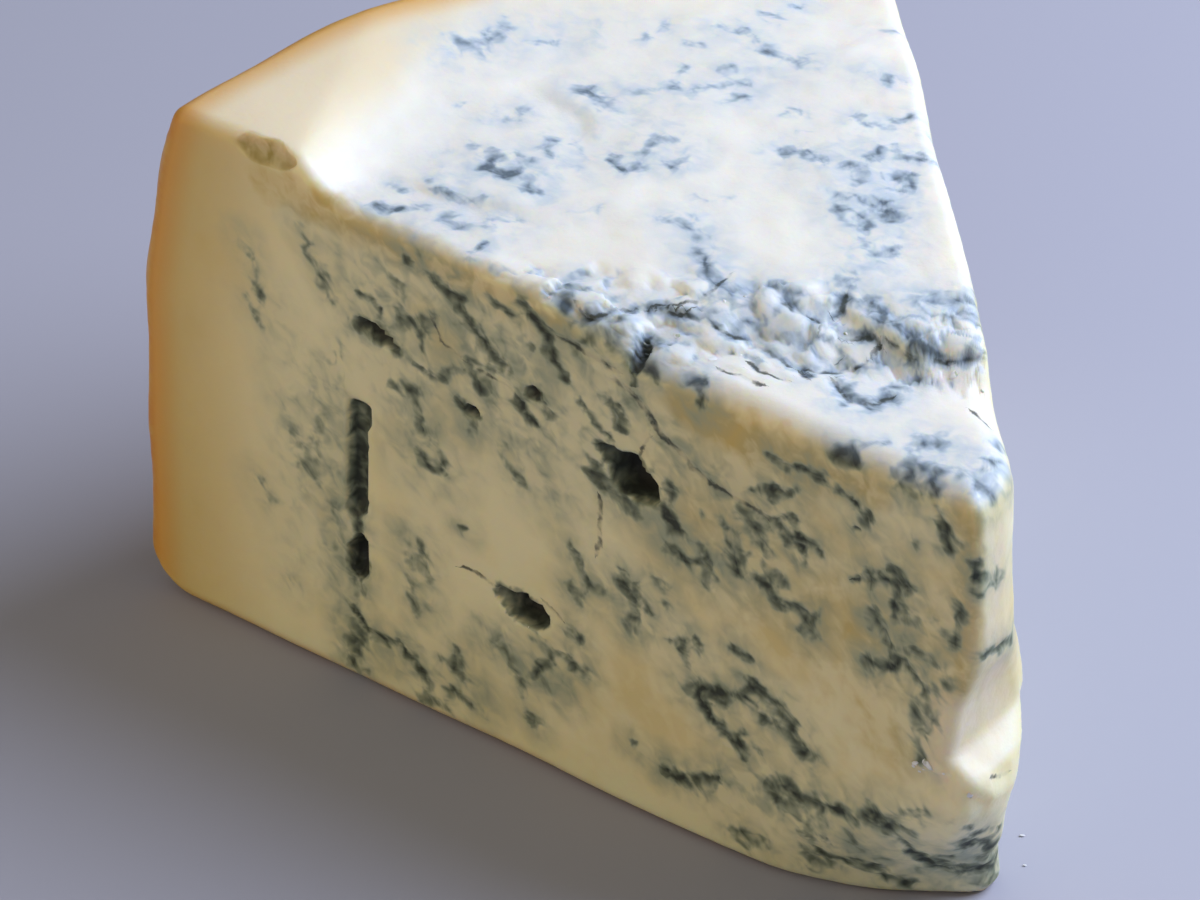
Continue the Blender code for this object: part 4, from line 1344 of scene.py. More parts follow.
def placed_marks(side, marks):
    """Marks with a half width and a strength, their bends turned to paths on the surface."""
    paths = seen_paths(side, [mark[-1] for mark in marks])
    return [(*mark[:-1], path) for mark, path in zip(marks, paths)]


def all_marks():
    """Every dab of mould, stain and crack as a path on the surface: those that the photo
    shows first, then those drawn by chance for the right cut."""
    draw = np.random.default_rng(HIDDEN_SEED)
    mould = []
    stain = []
    cracks = []
    for side, marks in (("left", (LEFT_MOULD, LEFT_STAIN, LEFT_CRACKS)),
                        ("top", (TOP_MOULD, TOP_STAIN, TOP_CRACKS)),
                        ("right", hidden_marks(draw))):
        mould += placed_marks(side, marks[0])
        stain += placed_marks(side, marks[1])
        cracks += placed_marks(side, marks[2])
    for half, share, path in mould:
        stain.append((HALO_WIDTH * half + HALO_REACH, HALO_SHARE * share, path))
    return mould, stain, cracks


def set_field(mesh, name, values):
    """Stores one number for each point of the mesh under a name that the materials read."""
    field = mesh.attributes.new(name, "FLOAT", "POINT")
    field.data.foreach_set("value", values.astype(np.float32))


def wedge_mesh():
    """The dressed wedge: the lattice on the form's surface, pushed along the slope by the
    relief and into its hollows, with the fields that its material reads."""
    counts, faces, underside = block_lattice(CELLS, UNDERSIDE_RIM)
    points = evened(slide_to_surface(rough_place(counts), FIRST_SLIDES), faces)
    normals = form_slope(points)[1]
    normals /= np.linalg.norm(normals, axis=1)[:, None]

    dabs, stains, crack_lines = all_marks()
    frayed = warped(points)
    mould = streak_field(frayed, dabs)
    stain = streak_field(points + STAIN_FRAY * (frayed - points), stains, STAIN_POWER)
    # Discoloured paste, and painted glow under the top edges and by the tip.
    tan = streak_field(frayed, placed_marks("left", LEFT_TAN_AND_GLOW), TINT_POWER)
    crack_gap, crack_width = crack_fields(points, normals, crack_lines)
    # Fresh paste with painted light on the lit facets of the tip.
    fresh_and_lit = streak_field(frayed, placed_marks("left", LEFT_FRESH_AND_LIT), TINT_POWER)
    stain = stain * (1.0 - FRESH_AND_LIT_CLEARS * np.minimum(fresh_and_lit, 1.0))
    sunk, recess_shade, lining, chip = hollow_fields(points)
    bored, channel = needle_fields(points)
    rise, cleft = relief(points, normals, mould, crack_gap, crack_width)
    patchy = ramp(grains(points, CLEFT_PATCHES, 2, 131), *CLEFT_PATCHY)
    mould = np.maximum(mould, CLEFT_MOULD * cleft * patchy)
    mould = np.maximum(mould, CHANNEL_MOULD * ramp(channel, *CHANNEL_MOULD_FADE))
    mould = np.maximum(mould, lining)
    # Painted shade: the needle channels darken towards their floor.
    recess_shade = np.maximum(recess_shade, CHANNEL_SHADE * ramp(channel, *CHANNEL_SHADE_FADE))

    above_floor = ramp(points[:, 2], 0.0, FREE_HEIGHT)
    shaped = points + (normals * rise[:, None] + sunk + bored) * above_floor[:, None]
    shaped[:, 2] = np.maximum(shaped[:, 2], 0.0)

    mesh = bpy.data.meshes.new("wedge")
    mesh.from_pydata(to_part(shaped), [], faces.tolist() + [underside.tolist()])
    x, y, z = points.T
    skin_film_and_lit_stain = SKIN_FILM * (1.0 - ramp(z, *SKIN_FILM_HEIGHT)) * ramp(y, *SKIN_FILM_FROM_TIP)
    skinned = np.maximum(ramp(-normals[:, 2], *SKIN_LEAN), skin_film_and_lit_stain)
    fields = {
        "mould": mould,
        "stain": stain,
        "crack_gap": crack_gap,
        "crack_width": crack_width,
        "recess_shade": recess_shade,
        "chip": chip,
        "tan": tan,
        "fresh_and_lit": fresh_and_lit,
        "under_rind": rind_radius(z) - np.hypot(x, y),
        "top": ramp(normals[:, 2], *TOP_SHOWN),
        "foot": skinned,
        "corner": ramp(into_corner(x, y), *CORNER_SHOWN),
    }
    for name in FIELDS:
        set_field(mesh, name, fields[name])
    mesh.update()
    mesh.shade_smooth()
    return mesh


def add_node(tree, kind, inputs=(), **settings):
    """Adds a node of one kind, sets its properties and fills its inputs: a socket is linked
    and anything else is the input's own value."""
    node = tree.nodes.new(kind)
    for name, value in settings.items():
        setattr(node, name, value)
    for name, value in dict(inputs).items():
        if isinstance(value, bpy.types.NodeSocket):
            tree.links.new(value, node.inputs[name])
        else:
            node.inputs[name].default_value = value
    return node


def new_material(name):
    """An empty node material with its output, and its node tree."""
    material = bpy.data.materials.new(name)
    material.use_nodes = True
    material.node_tree.nodes.clear()
    return material, material.node_tree


# A colour mix node's sockets, whose names repeat for each kind of value.
MIX_SHARE = 0
MIX_FIRST = 6
MIX_SECOND = 7
MIX_RESULT = 2
# The mould's veil, its dust and its dense core: the strength that each begins at, the
# strength that it is full at, and how much of the paste it then hides.
MOULD_SHOWS = ((0.08, 0.52, 0.7), (0.28, 0.78, 0.95), (0.6, 1.1, 1.0))


def gorgonzola_material(paste, mould):
    """Gorgonzola dolce: soft cow's milk paste, pressed lightly, salted and pierced.

    Fat and whey make the paste moist, half clear and softly glossy, so light sinks a few
    millimetres into it. Mould spores line every crack and hollow with dull blue-green dust,
    which stains the paste round them. The washed rind is tan to orange and duller.
    """
    material, tree = new_material("gorgonzola_paste_mould_and_washed_rind")
    place = add_node(tree, "ShaderNodeTexCoord").outputs["Object"]
    fields = {}
    for name in FIELDS:
        node = add_node(tree, "ShaderNodeAttribute", attribute_name=name)
        fields[name] = node.outputs["Fac"]

    # The knife smeared the flecks down towards the tip, so the noise is stretched that way.
    smear = Vector(SMEAR_DIRECTION).to_track_quat("X", "Z").to_euler()
    smeared = add_node(tree, "ShaderNodeMapping", {
        "Vector": place, "Rotation": smear, "Scale": (SMEAR_LENGTH, 1.0, 1.0)},
        vector_type="TEXTURE").outputs[0]
    # Flecks of mould are 0.3 to 3 mm across, so this noise starts at 2.5 mm.
    fleck = add_node(tree, "ShaderNodeTexNoise", {
        "Vector": smeared, "Scale": 1.0 / (2.5 * MM), "Detail": 2.0, "Roughness": 0.5,
        "Distortion": 0.45}).outputs["Fac"]
    curl = add_node(tree, "ShaderNodeTexNoise", {
        "Vector": smeared, "Scale": 1.0 / (4.2 * MM), "Detail": 1.0, "Roughness": 0.5,
        "Distortion": 0.4}).outputs["Fac"]
    cloud = add_node(tree, "ShaderNodeTexNoise", {
        "Vector": place, "Scale": 1.0 / (14.0 * MM), "Detail": 3.0,
        "Roughness": 0.55}).outputs["Fac"]
    # Curd grains are under a millimetre; 0.8 mm is about the least that shows.
    curd = add_node(tree, "ShaderNodeTexNoise", {
        "Vector": place, "Scale": 1.0 / (0.8 * MM), "Detail": 3.0,
        "Roughness": 0.6}).outputs["Fac"]

    # The mould's strength, broken up by flecks and by curling threads, but only near mould.
    faint = add_node(tree, "ShaderNodeMath", {
        0: fields["stain"], 1: mould.veil}, operation="MULTIPLY")
    spread = add_node(tree, "ShaderNodeMath", {
        0: fields["mould"], 1: faint.outputs[0]}, operation="MAXIMUM")
    nearby = add_node(tree, "ShaderNodeMapRange", {
        "Value": spread.outputs[0], "From Min": 0.0, "From Max": 0.3})
    off_middle = add_node(tree, "ShaderNodeMath", {0: curl, 1: 0.5}, operation="SUBTRACT")
    off_thread = add_node(tree, "ShaderNodeMath", {0: off_middle.outputs[0]},
                          operation="ABSOLUTE")
    thread = add_node(tree, "ShaderNodeMapRange", {
        "Value": off_thread.outputs[0], "From Min": 0.0, "From Max": 0.12,
        "To Min": 0.5 * mould.threads, "To Max": -0.5 * mould.threads})
    flecked = add_node(tree, "ShaderNodeMapRange", {
        "Value": fleck, "To Min": -0.5 * mould.fray, "To Max": 0.5 * mould.fray})
    broken = add_node(tree, "ShaderNodeMath", {
        0: flecked.outputs[0], 1: thread.outputs[0]}, operation="ADD")
    strength = add_node(tree, "ShaderNodeMath", {
        0: broken.outputs[0], 1: nearby.outputs[0], 2: spread.outputs[0]},
        operation="MULTIPLY_ADD").outputs[0]
    veiled, dusty, core = (
        add_node(tree, "ShaderNodeMapRange", {
            "Value": strength, "From Min": start, "From Max": full, "To Max": most},
            interpolation_type="SMOOTHSTEP")
        for start, full, most in MOULD_SHOWS)

    # Stain, tan with its painted glow, the chip's painted shade and fresh paste with its painted
    # light are patchy: the flecks and the clouds thin them out.
    patchy = add_node(tree, "ShaderNodeMath", {0: fleck, 1: cloud}, operation="ADD")
    patches = add_node(tree, "ShaderNodeMapRange", {
        "Value": patchy.outputs[0], "From Min": 0.8, "From Max": 1.2, "To Min": 0.4,
        "To Max": 1.3})
    stained, tan_and_glow_share, chip_shaded, opened_and_lit = (
        add_node(tree, "ShaderNodeMath", {
            0: fields[name], 1: patches.outputs[0]}, operation="MULTIPLY", use_clamp=True)
        for name in ("stain", "tan", "chip", "fresh_and_lit"))

    # Cracks are thin dark lines. The curd and the curls make them waver, and the flecks let
    # them gape only here and there.
    wander = add_node(tree, "ShaderNodeMapRange", {
        "Value": curd, "To Min": -0.4, "To Max": 0.4}).outputs[0]
    swing = add_node(tree, "ShaderNodeMapRange", {
        "Value": curl, "To Min": -1.2, "To Max": 1.2}).outputs[0]
    wavering = add_node(tree, "ShaderNodeMath", {0: wander, 1: swing}, operation="ADD")
    wandered = add_node(tree, "ShaderNodeMath", {
        0: wavering.outputs[0], 1: fields["crack_gap"]}, operation="ADD")
    apart = add_node(tree, "ShaderNodeMath", {0: wandered.outputs[0]}, operation="ABSOLUTE")
    widths = add_node(tree, "ShaderNodeMath", {
        0: fields["crack_width"], 1: 1e-4}, operation="ADD")
    depth = add_node(tree, "ShaderNodeMath", {
        0: apart.outputs[0], 1: widths.outputs[0]}, operation="DIVIDE")
    cracked = add_node(tree, "ShaderNodeMapRange", {
        "Value": depth.outputs[0], "From Min": 0.3, "From Max": 1.4, "To Min": 0.85,
        "To Max": 0.0}, interpolation_type="SMOOTHSTEP")
    gaping = add_node(tree, "ShaderNodeMapRange", {
        "Value": fleck, "From Min": 0.4, "From Max": 0.58, "To Min": 0.12})
    cracked = add_node(tree, "ShaderNodeMath", {
        0: cracked.outputs[0], 1: gaping.outputs[0]}, operation="MULTIPLY")

    # Towards the rind the paste ripens to straw and then to the rind's tan and orange.
    soften = add_node(tree, "ShaderNodeMath", {0: cloud, 1: 12.0}, operation="MULTIPLY")
    depth_in = add_node(tree, "ShaderNodeMath", {
        0: fields["under_rind"], 1: soften.outputs[0]}, operation="ADD")
    straw = add_node(tree, "ShaderNodeMapRange", {
        "Value": depth_in.outputs[0], "From Min": 8.0, "From Max": 36.0, "To Min": 0.8,
        "To Max": 0.0}, interpolation_type="SMOOTHSTEP")
    covered = add_node(tree, "ShaderNodeMapRange", {"Value": fields["top"], "To Min": 1.0,
                                                    "To Max": 0.22})
    strawed = add_node(tree, "ShaderNodeMath", {
        0: straw.outputs[0], 1: covered.outputs[0]}, operation="MULTIPLY")
    ripe = add_node(tree, "ShaderNodeMapRange", {
        "Value": fields["under_rind"], "From Min": 1.0, "From Max": 8.0, "To Min": 0.8,
        "To Max": 0.0}, interpolation_type="SMOOTHSTEP")
    rind = add_node(tree, "ShaderNodeMapRange", {
        "Value": fields["under_rind"], "From Min": 0.6, "From Max": 2.6, "To Min": 1.0,
        "To Max": 0.0}, interpolation_type="SMOOTHSTEP")
    # The rind has a pale bloom in patches.
    bloom = add_node(tree, "ShaderNodeMapRange", {
        "Value": patchy.outputs[0], "From Min": 0.88, "From Max": 1.3, "To Max": 0.6})
    bloomed = add_node(tree, "ShaderNodeMath", {
        0: rind.outputs[0], 1: bloom.outputs[0]}, operation="MULTIPLY")
    underside = add_node(tree, "ShaderNodeMath", {
        0: fields["foot"], 1: 0.8}, operation="MULTIPLY")

    # Inside, riper patches are creamier. The torn top, but for its smooth corner, is whiter:
    # partly chalky torn paste, partly painted light of the cool light from above.
    warm_patch = add_node(tree, "ShaderNodeMapRange", {
        "Value": cloud, "From Min": 0.48, "From Max": 0.66, "To Min": 0.0, "To Max": 0.55})
    chalky_top_light = add_node(tree, "ShaderNodeMath", {
        0: fields["corner"], 1: -0.5, 2: fields["top"]}, operation="MULTIPLY_ADD",
        use_clamp=True)
    chalk_and_top_light = add_node(tree, "ShaderNodeMath", {
        0: chalky_top_light.outputs[0], 1: 0.85}, operation="MULTIPLY")
    smooth_top = add_node(tree, "ShaderNodeMath", {
        0: fields["corner"], 1: fields["top"]}, operation="MULTIPLY")

    # On the top the stain and the mould take paler, bluer copies: painted cool light and sheen.
    pairs = ((mould.stain, mould.top_lit_stain), (mould.dust, mould.top_lit_dust),
             (mould.core, mould.top_lit_core))
    skin_film_and_lit_stain, dust, dense = (
        add_node(tree, "ShaderNodeMix", {
            MIX_SHARE: fields["top"], MIX_FIRST: (*on_cut, 1.0), MIX_SECOND: (*on_top, 1.0)},
            data_type="RGBA").outputs[MIX_RESULT]
        for on_cut, on_top in pairs)

    colour = add_node(tree, "ShaderNodeRGB").outputs[0]
    colour.default_value = (*paste.ivory, 1.0)
    layers = (
        (warm_patch.outputs[0], (*paste.cream, 1.0)),
        (chalk_and_top_light.outputs[0], (*paste.chalk_and_top_light, 1.0)),
        (smooth_top.outputs[0], (*paste.fresh_and_lit, 1.0)),
        (strawed.outputs[0], (*paste.straw, 1.0)),
        (tan_and_glow_share.outputs[0], (*paste.tan, 1.0)),
        (ripe.outputs[0], (*paste.ripe, 1.0)),
        (opened_and_lit.outputs[0], (*paste.fresh_and_lit, 1.0)),
        (chip_shaded.outputs[0], (*paste.chip_shade, 1.0)),
        (rind.outputs[0], (*paste.rind, 1.0)),
        (bloomed.outputs[0], (*paste.straw, 1.0)),
        (underside.outputs[0], (*paste.rind, 1.0)),
        (stained.outputs[0], skin_film_and_lit_stain),
        (veiled.outputs[0], skin_film_and_lit_stain),
        (dusty.outputs[0], dust),
        (core.outputs[0], dense),
        (cracked.outputs[0], (*mould.core, 1.0)),
        # Painted shade: hollows, clefts and channels darken to this colour where shade falls in
        # them.
        (fields["recess_shade"], (*mould.hollow, 1.0)),
    )
    for share, tint in layers:
        colour = add_node(tree, "ShaderNodeMix", {
            MIX_SHARE: share, MIX_FIRST: colour, MIX_SECOND: tint},
            data_type="RGBA").outputs[MIX_RESULT]

    # The moist paste is glossier than the mould, and fine curd and flecks break the gloss up.
    roughness = add_node(tree, "ShaderNodeMapRange", {
        "Value": dusty.outputs[0], "To Min": 0.40, "To Max": 0.65})
    grainy = add_node(tree, "ShaderNodeMath", {
        0: curd, 1: fleck}, operation="ADD")
    bump = add_node(tree, "ShaderNodeBump", {
        "Height": grainy.outputs[0], "Strength": 0.3, "Distance": 0.2 * MM})
    shader = add_node(tree, "ShaderNodeBsdfPrincipled", {
        "Base Color": colour, "Roughness": roughness.outputs[0], "Normal": bump.outputs[0],
        "IOR": 1.45, "Subsurface Weight": 0.8, "Subsurface Radius": (1.0, 0.7, 0.32),
        "Subsurface Scale": paste.glow})
    add_node(tree, "ShaderNodeOutputMaterial", {"Surface": shader.outputs[0]})
    return material


def crumb_material(paste, mould):
    """The same soft paste in crumbs: drier outside, ivory, some with a touch of mould."""
    material, tree = new_material("gorgonzola_crumb")
    place = add_node(tree, "ShaderNodeTexCoord").outputs["Object"]
    speck = add_node(tree, "ShaderNodeTexNoise", {
        "Vector": place, "Scale": 1.0 / (2.0 * MM), "Detail": 2.0}).outputs["Fac"]
    blue = add_node(tree, "ShaderNodeMapRange", {
        "Value": speck, "From Min": 0.56, "From Max": 0.64}, interpolation_type="SMOOTHSTEP")
    colour = add_node(tree, "ShaderNodeMix", {
        MIX_SHARE: blue.outputs[0], MIX_FIRST: (*paste.chalk_and_top_light, 1.0),
        MIX_SECOND: (*mould.stain, 1.0)}, data_type="RGBA")
    shader = add_node(tree, "ShaderNodeBsdfPrincipled", {
        "Base Color": colour.outputs[MIX_RESULT], "Roughness": 0.5, "IOR": 1.45,
        "Subsurface Weight": 0.5, "Subsurface Radius": (1.0, 0.75, 0.4),
        "Subsurface Scale": 0.8 * MM})
    add_node(tree, "ShaderNodeOutputMaterial", {"Surface": shader.outputs[0]})
    return material


def floor_material(stage):
    """A matt painted sweep, evenly pale, so that nothing draws the eye from the cheese."""
    material, tree = new_material("studio_floor")
    shader = add_node(tree, "ShaderNodeBsdfPrincipled", {
        "Base Color": (*stage.floor, 1.0), "Roughness": 0.75})
    add_node(tree, "ShaderNodeOutputMaterial", {"Surface": shader.outputs[0]})
    return material


def crumb_ball():
    """A small closed ball of rings and poles, as points of radius 1 and its faces."""
    rings = 5
    sides = 8
    polar = math.pi * np.arange(1, rings + 1) / (rings + 1)
    turn = 2.0 * math.pi * np.arange(sides) / sides
    polar, turn = (grid.ravel() for grid in np.meshgrid(polar, turn, indexing="ij"))
    skin = np.stack([np.sin(polar) * np.cos(turn), np.sin(polar) * np.sin(turn),
                     np.cos(polar)], axis=1)
    points = np.concatenate([skin, [[0.0, 0.0, 1.0], [0.0, 0.0, -1.0]]])
    top = len(skin)
    around = np.arange(sides)
    beside = (around + 1) % sides
    faces = []
    for ring in range(rings - 1):
        upper = ring * sides
        lower = upper + sides
        faces += np.stack([upper + around, lower + around, lower + beside, upper + beside],
                          axis=1).tolist()
    last = (rings - 1) * sides
    faces += np.stack([np.full(sides, top), around, beside], axis=1).tolist()
    faces += np.stack([np.full(sides, top + 1), last + beside, last + around], axis=1).tolist()
    return points, faces


def crumb_mesh(places, ways_out, sizes, draw):
    """Crumbs joined in one mesh: for every crumb at once the ball's points are stretched,
    flattened and roughened by noise, then turned to lie on the surface and moved there."""
    ball, ball_faces = crumb_ball()
    count = len(places)
    stretch = draw.uniform(*CRUMB_STRETCH, (count, 3))
    bodies = ball[None] * stretch[:, None, :]
    apart = CRUMB_APART * np.arange(count)[:, None, None]
    rough = grain((bodies + apart).reshape(-1, 3), CRUMB_GRAIN, 90)
    bodies = bodies * (1.0 + CRUMB_ROUGHNESS * rough.reshape(count, -1, 1))
    bodies = bodies * sizes[:, None, None]
    level = np.cross(ways_out, draw.normal(size=(count, 3)))
    level /= np.linalg.norm(level, axis=1)[:, None]
    axes = np.stack([level, np.cross(ways_out, level), ways_out], axis=2)
    sunk = places - CRUMB_SUNK * sizes[:, None] * ways_out
    world = sunk[:, None, :] + np.einsum("nij,nkj->nki", axes, bodies)
    world[..., 2] = np.maximum(world[..., 2], 0.0)
    mesh = bpy.data.meshes.new("crumbs")
    faces = []
    for number in range(count):
        start = number * len(ball)
        faces += [[start + corner for corner in face] for face in ball_faces]
    mesh.from_pydata(to_part(world.reshape(-1, 3)), [], faces)
    mesh.update()
    mesh.shade_smooth()
    return mesh


def colour_property(name, code, description):
    """A colour that a user may change, from its sRGB hex code."""
    return bpy.props.FloatVectorProperty(
        name=name, description=description, subtype="COLOR", size=3, min=0.0, max=1.0,
        default=linear(code))


class GorgonzolaPaste(bpy.types.PropertyGroup):
    """Colours of the paste and the rind, and how deep light sinks into them."""

    ivory: colour_property("Ivory", "#F0E7BC", "Paste well inside the wheel")
    cream: colour_property("Cream", "#ECDDA6", "Riper patches of the paste")
    # Whiter top: partly chalky torn paste, partly painted light from above.
    chalk_and_top_light: colour_property("Chalk", "#F6F1EA", "Freshly torn paste on the top")
    # Also painted light on the tip's lit facets; the smooth corner takes it too.
    fresh_and_lit: colour_property("Fresh", "#F3E4C8", "Newly broken paste and the smooth corner")
    straw: colour_property("Straw", "#CFB05C", "Paste ripened near the rind")
    # Also the painted glow under the top edges and along the tip's edge.
    tan: colour_property("Tan", "#D2BA72", "Discoloured patches of the cut")
    # Painted shade in the chipped notch of the top edge.
    chip_shade: colour_property("Bruise", "#A99446", "Waxy paste in the chipped edge")
    ripe: colour_property("Ripe", "#D99C3A", "The last millimetres under the rind")
    rind: colour_property("Rind", "#C4862E", "The washed rind itself")
    glow: bpy.props.FloatProperty(
        name="Glow", description="How far light sinks into the paste", default=6.0 * MM,
        min=0.0, unit="LENGTH")


class GorgonzolaMould(bpy.types.PropertyGroup):
    """Colours of the mould and how frayed its streaks are."""

    stain: colour_property("Stain", "#A6AD94", "Paste tinted by the mould beside it")
    dust: colour_property("Dust", "#737C67", "Mould seen from a step away")
    core: colour_property("Core", "#363C31", "Dense mould in cracks")
    # Paler, bluer copies of the three above for the top: painted cool light and sheen.
    top_lit_stain: colour_property("Pale stain", "#C6D2DB", "Paste tinted by mould on the top")
    top_lit_dust: colour_property("Pale dust", "#A2B0BC", "Mould under whey on the top")
    top_lit_core: colour_property("Pale core", "#5F6C76", "Dense mould under whey")
    # Painted shade: the near black that hollows, clefts and channels darken to.
    hollow: colour_property("Hollow", "#1B1C14", "The shade inside holes")
    fray: bpy.props.FloatProperty(
        name="Fray", description="How strongly flecks break the streaks up", default=1.6,
        min=0.0, subtype="FACTOR", soft_max=4.0)
    threads: bpy.props.FloatProperty(
        name="Threads", description="How strongly curling threads show", default=0.25,
        min=0.0, subtype="FACTOR", soft_max=2.0)
    veil: bpy.props.FloatProperty(
        name="Veil", description="How much of the stain breaks up into flecks", default=0.34,
        min=0.0, subtype="FACTOR", soft_max=1.0)


class GorgonzolaCrumbs(bpy.types.PropertyGroup):
    """How many crumbs lie about and how large they are."""

    on_step: bpy.props.IntProperty(
        name="On the step", description="Crumbs lying in the torn step", default=12, min=0)
    on_ledge: bpy.props.IntProperty(
        name="On the ledge", description="Crumbs along the tip's torn ledge", default=9,
        min=0)
    on_floor: bpy.props.IntProperty(
        name="On the floor", description="Crumbs lying by the foot", default=9, min=0)
    largest: bpy.props.FloatProperty(
        name="Largest", description="Half width of the largest crumb", default=0.9 * MM,
        min=0.0, unit="LENGTH")
    seed: bpy.props.IntProperty(name="Seed", description="Which draw of crumbs", default=5)


class GorgonzolaStage(bpy.types.PropertyGroup):
    """The plain floor and the soft light."""

    floor: colour_property("Floor", "#ADADBC", "The plain sweep under the cheese")
    key: colour_property("Key light", "#DFE9FF", "Cool daylight from the right and above")
    key_power: bpy.props.FloatProperty(
        name="Key power", description="Power of the key light", default=12.9, min=0.0,
        unit="POWER")
    fill: colour_property("Fill light", "#FFE6C4", "Dim warm light from the left")
    fill_power: bpy.props.FloatProperty(
        name="Fill power", description="Power of the fill light", default=1.25, min=0.0,
        unit="POWER")
    sky: colour_property("Sky", "#F6F8F0", "Even light from all round")
    sky_strength: bpy.props.FloatProperty(
        name="Sky strength", description="How strong the even light is", default=0.235, min=0.0)


class GORGONZOLA_OT_wedge(bpy.types.Operator):
    """Makes the dressed wedge in place of the plain solid"""

    bl_idname = "gorgonzola.wedge"
    bl_label = "Make the wedge"

    def execute(self, context):
        scene = context.scene
        wedge = bpy.data.objects.new(WEDGE_NAME, wedge_mesh())
        wedge.data.materials.append(
            gorgonzola_material(scene.gorgonzola_paste, scene.gorgonzola_mould))
        scene.collection.objects.link(wedge)
        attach(wedge, BODY)
        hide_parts(NODE)
        return {"FINISHED"}


class GORGONZOLA_OT_crumbs(bpy.types.Operator):
    """Scatters crumbs over the torn step, along the tip's ledge and by the foot"""

    bl_idname = "gorgonzola.crumbs"
    bl_label = "Scatter the crumbs"

    def execute(self, context):
        scene = context.scene
        settings = scene.gorgonzola_crumbs
        draw = np.random.default_rng(settings.seed)
        if WEDGE_NAME not in bpy.data.objects:
            raise RuntimeError("make the wedge before its crumbs")
        wedge = bpy.data.objects[WEDGE_NAME].data
        skin = np.empty(3 * len(wedge.vertices))
        wedge.vertices.foreach_get("co", skin)
        skin = from_part(skin.reshape(-1, 3))
        outwards = np.empty(3 * len(skin))
        wedge.vertices.foreach_get("normal", outwards)
        outwards = outwards.reshape(-1, 3)

        past = past_step(skin[:, 0], skin[:, 1])
        stepped = (past > CRUMBS_PAST[0]) & (past < CRUMBS_PAST[1])
        stepped &= (outwards[:, 2] > CRUMBS_LEVEL) & (skin[:, 0] < CRUMBS_LEFT_OF)
        tip_ledge = seen_paths("left", [LEDGES[-1][-1]])[0]
        ledge = gap_to_path(skin, tip_ledge)[0] < CRUMBS_BY_LEDGE
        ledge &= skin[:, 2] > CRUMBS_ABOVE
        chosen = np.concatenate([draw.choice(np.flatnonzero(stepped), settings.on_step),
                                 draw.choice(np.flatnonzero(ledge), settings.on_ledge)])
        foot = np.stack([draw.uniform(*CRUMBS_FLOOR_X, settings.on_floor),
                         draw.uniform(*CRUMBS_FLOOR_Y, settings.on_floor),
                         np.zeros(settings.on_floor)], axis=1)
        clear = form(foot[:, 0], foot[:, 1], np.full(len(foot), 1.0)) > CRUMBS_CLEAR
        foot = foot[clear]
        places = np.concatenate([skin[chosen], foot])
        ways_out = np.concatenate([outwards[chosen], np.tile((0.0, 0.0, 1.0), (len(foot), 1))])
        shares = draw.uniform(CRUMB_LEAST, 1.0, len(places)) ** CRUMB_SMALLER
        sizes = settings.largest / MM * shares
        crumbs = bpy.data.objects.new(
            "gorgonzola_crumbs", crumb_mesh(places, ways_out, sizes, draw))
        crumbs.data.materials.append(
            crumb_material(scene.gorgonzola_paste, scene.gorgonzola_mould))
        scene.collection.objects.link(crumbs)
        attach(crumbs, BODY)
        return {"FINISHED"}


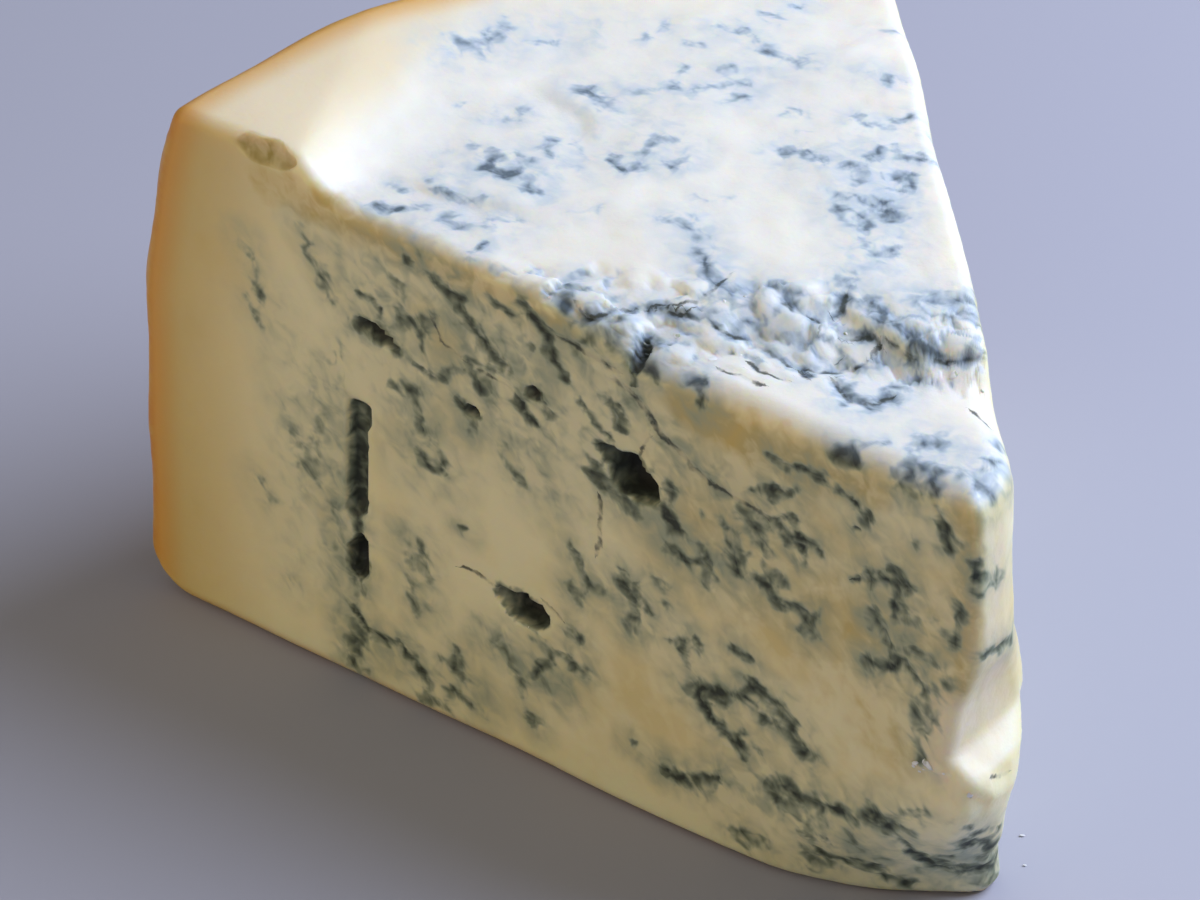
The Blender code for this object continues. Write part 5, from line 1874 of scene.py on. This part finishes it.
class GORGONZOLA_OT_stage(bpy.types.Operator):
    """Sets the floor, the lights and the camera"""

    bl_idname = "gorgonzola.stage"
    bl_label = "Set the stage"

    def execute(self, context):
        scene = context.scene
        stage = scene.gorgonzola_stage
        bpy.ops.mesh.primitive_plane_add(size=FLOOR_WIDTH, location=(0.0, 0.0, -FLOOR_DROP))
        floor = context.active_object
        floor.name = "studio_floor"
        floor.data.materials.append(floor_material(stage))

        middle = Vector((0.0, 0.0, LIT_HEIGHT))
        lights = (
            ("key_light", KEY_LIGHT, stage.key, stage.key_power),
            ("fill_light", FILL_LIGHT, stage.fill, stage.fill_power),
        )
        for name, (towards, distance, size), tint, power in lights:
            data = bpy.data.lights.new(name, "AREA")
            data.shape = "DISK"
            data.size = size
            data.color = tint
            data.energy = power
            light = bpy.data.objects.new(name, data)
            direction = Vector(towards).normalized()
            light.matrix_world = Matrix.Translation(middle + direction * distance) @ (
                direction.to_track_quat("Z", "Y").to_matrix().to_4x4())
            scene.collection.objects.link(light)

        world = bpy.data.worlds.new("even_sky")
        world.use_nodes = True
        backdrop = world.node_tree.nodes["Background"]
        backdrop.inputs["Color"].default_value = (*stage.sky, 1.0)
        backdrop.inputs["Strength"].default_value = stage.sky_strength
        scene.world = world

        camera_data = bpy.data.cameras.new("photo_view")
        camera_data.lens = VIEW_LENS
        camera_data.sensor_width = VIEW_SENSOR
        camera = bpy.data.objects.new("photo_view", camera_data)
        ahead = Vector((math.sin(VIEW_YAW) * math.cos(VIEW_PITCH),
                        math.cos(VIEW_YAW) * math.cos(VIEW_PITCH), -math.sin(VIEW_PITCH)))
        level = Vector((math.cos(VIEW_YAW), -math.sin(VIEW_YAW), 0.0))
        raised = level.cross(ahead)
        right = math.cos(VIEW_ROLL) * level + math.sin(VIEW_ROLL) * raised
        up = -math.sin(VIEW_ROLL) * level + math.cos(VIEW_ROLL) * raised
        turned = Matrix((right, up, -ahead)).transposed().to_4x4()
        turned.translation = Vector(to_part(np.array(EYE)))
        camera.matrix_world = turned
        scene.collection.objects.link(camera)
        scene.camera = camera
        scene.view_settings.view_transform = "Standard"
        return {"FINISHED"}


class GORGONZOLA_PT_sidebar(bpy.types.Panel):
    """Lists the sizes, the colours and the steps that make the wedge"""

    bl_idname = "GORGONZOLA_PT_sidebar"
    bl_label = "Gorgonzola wedge"
    bl_space_type = "VIEW_3D"
    bl_region_type = "UI"
    bl_category = "Gorgonzola"

    def draw(self, context):
        for group in SETTINGS:
            box = self.layout.box()
            for name in SETTINGS[group].__annotations__:
                box.prop(getattr(context.scene, group), name)
        for step in STEPS:
            self.layout.operator(step.bl_idname)


SETTINGS = {
    "gorgonzola_paste": GorgonzolaPaste,
    "gorgonzola_mould": GorgonzolaMould,
    "gorgonzola_crumbs": GorgonzolaCrumbs,
    "gorgonzola_stage": GorgonzolaStage,
}
STEPS = (GORGONZOLA_OT_wedge, GORGONZOLA_OT_crumbs, GORGONZOLA_OT_stage)


def register():
    """Registers the settings, the steps and the panel."""
    for group, kind in SETTINGS.items():
        bpy.utils.register_class(kind)
        setattr(bpy.types.Scene, group, bpy.props.PointerProperty(type=kind))
    for kind in (*STEPS, GORGONZOLA_PT_sidebar):
        bpy.utils.register_class(kind)


def unregister():
    """Takes the panel, the steps and the settings away again."""
    for kind in (GORGONZOLA_PT_sidebar, *reversed(STEPS)):
        bpy.utils.unregister_class(kind)
    for group, kind in reversed(SETTINGS.items()):
        delattr(bpy.types.Scene, group)
        bpy.utils.unregister_class(kind)


def main():
    """Makes everything in order."""
    register()
    bpy.ops.gorgonzola.wedge()
    bpy.ops.gorgonzola.crumbs()
    bpy.ops.gorgonzola.stage()


if __name__ == "__main__":
    main()
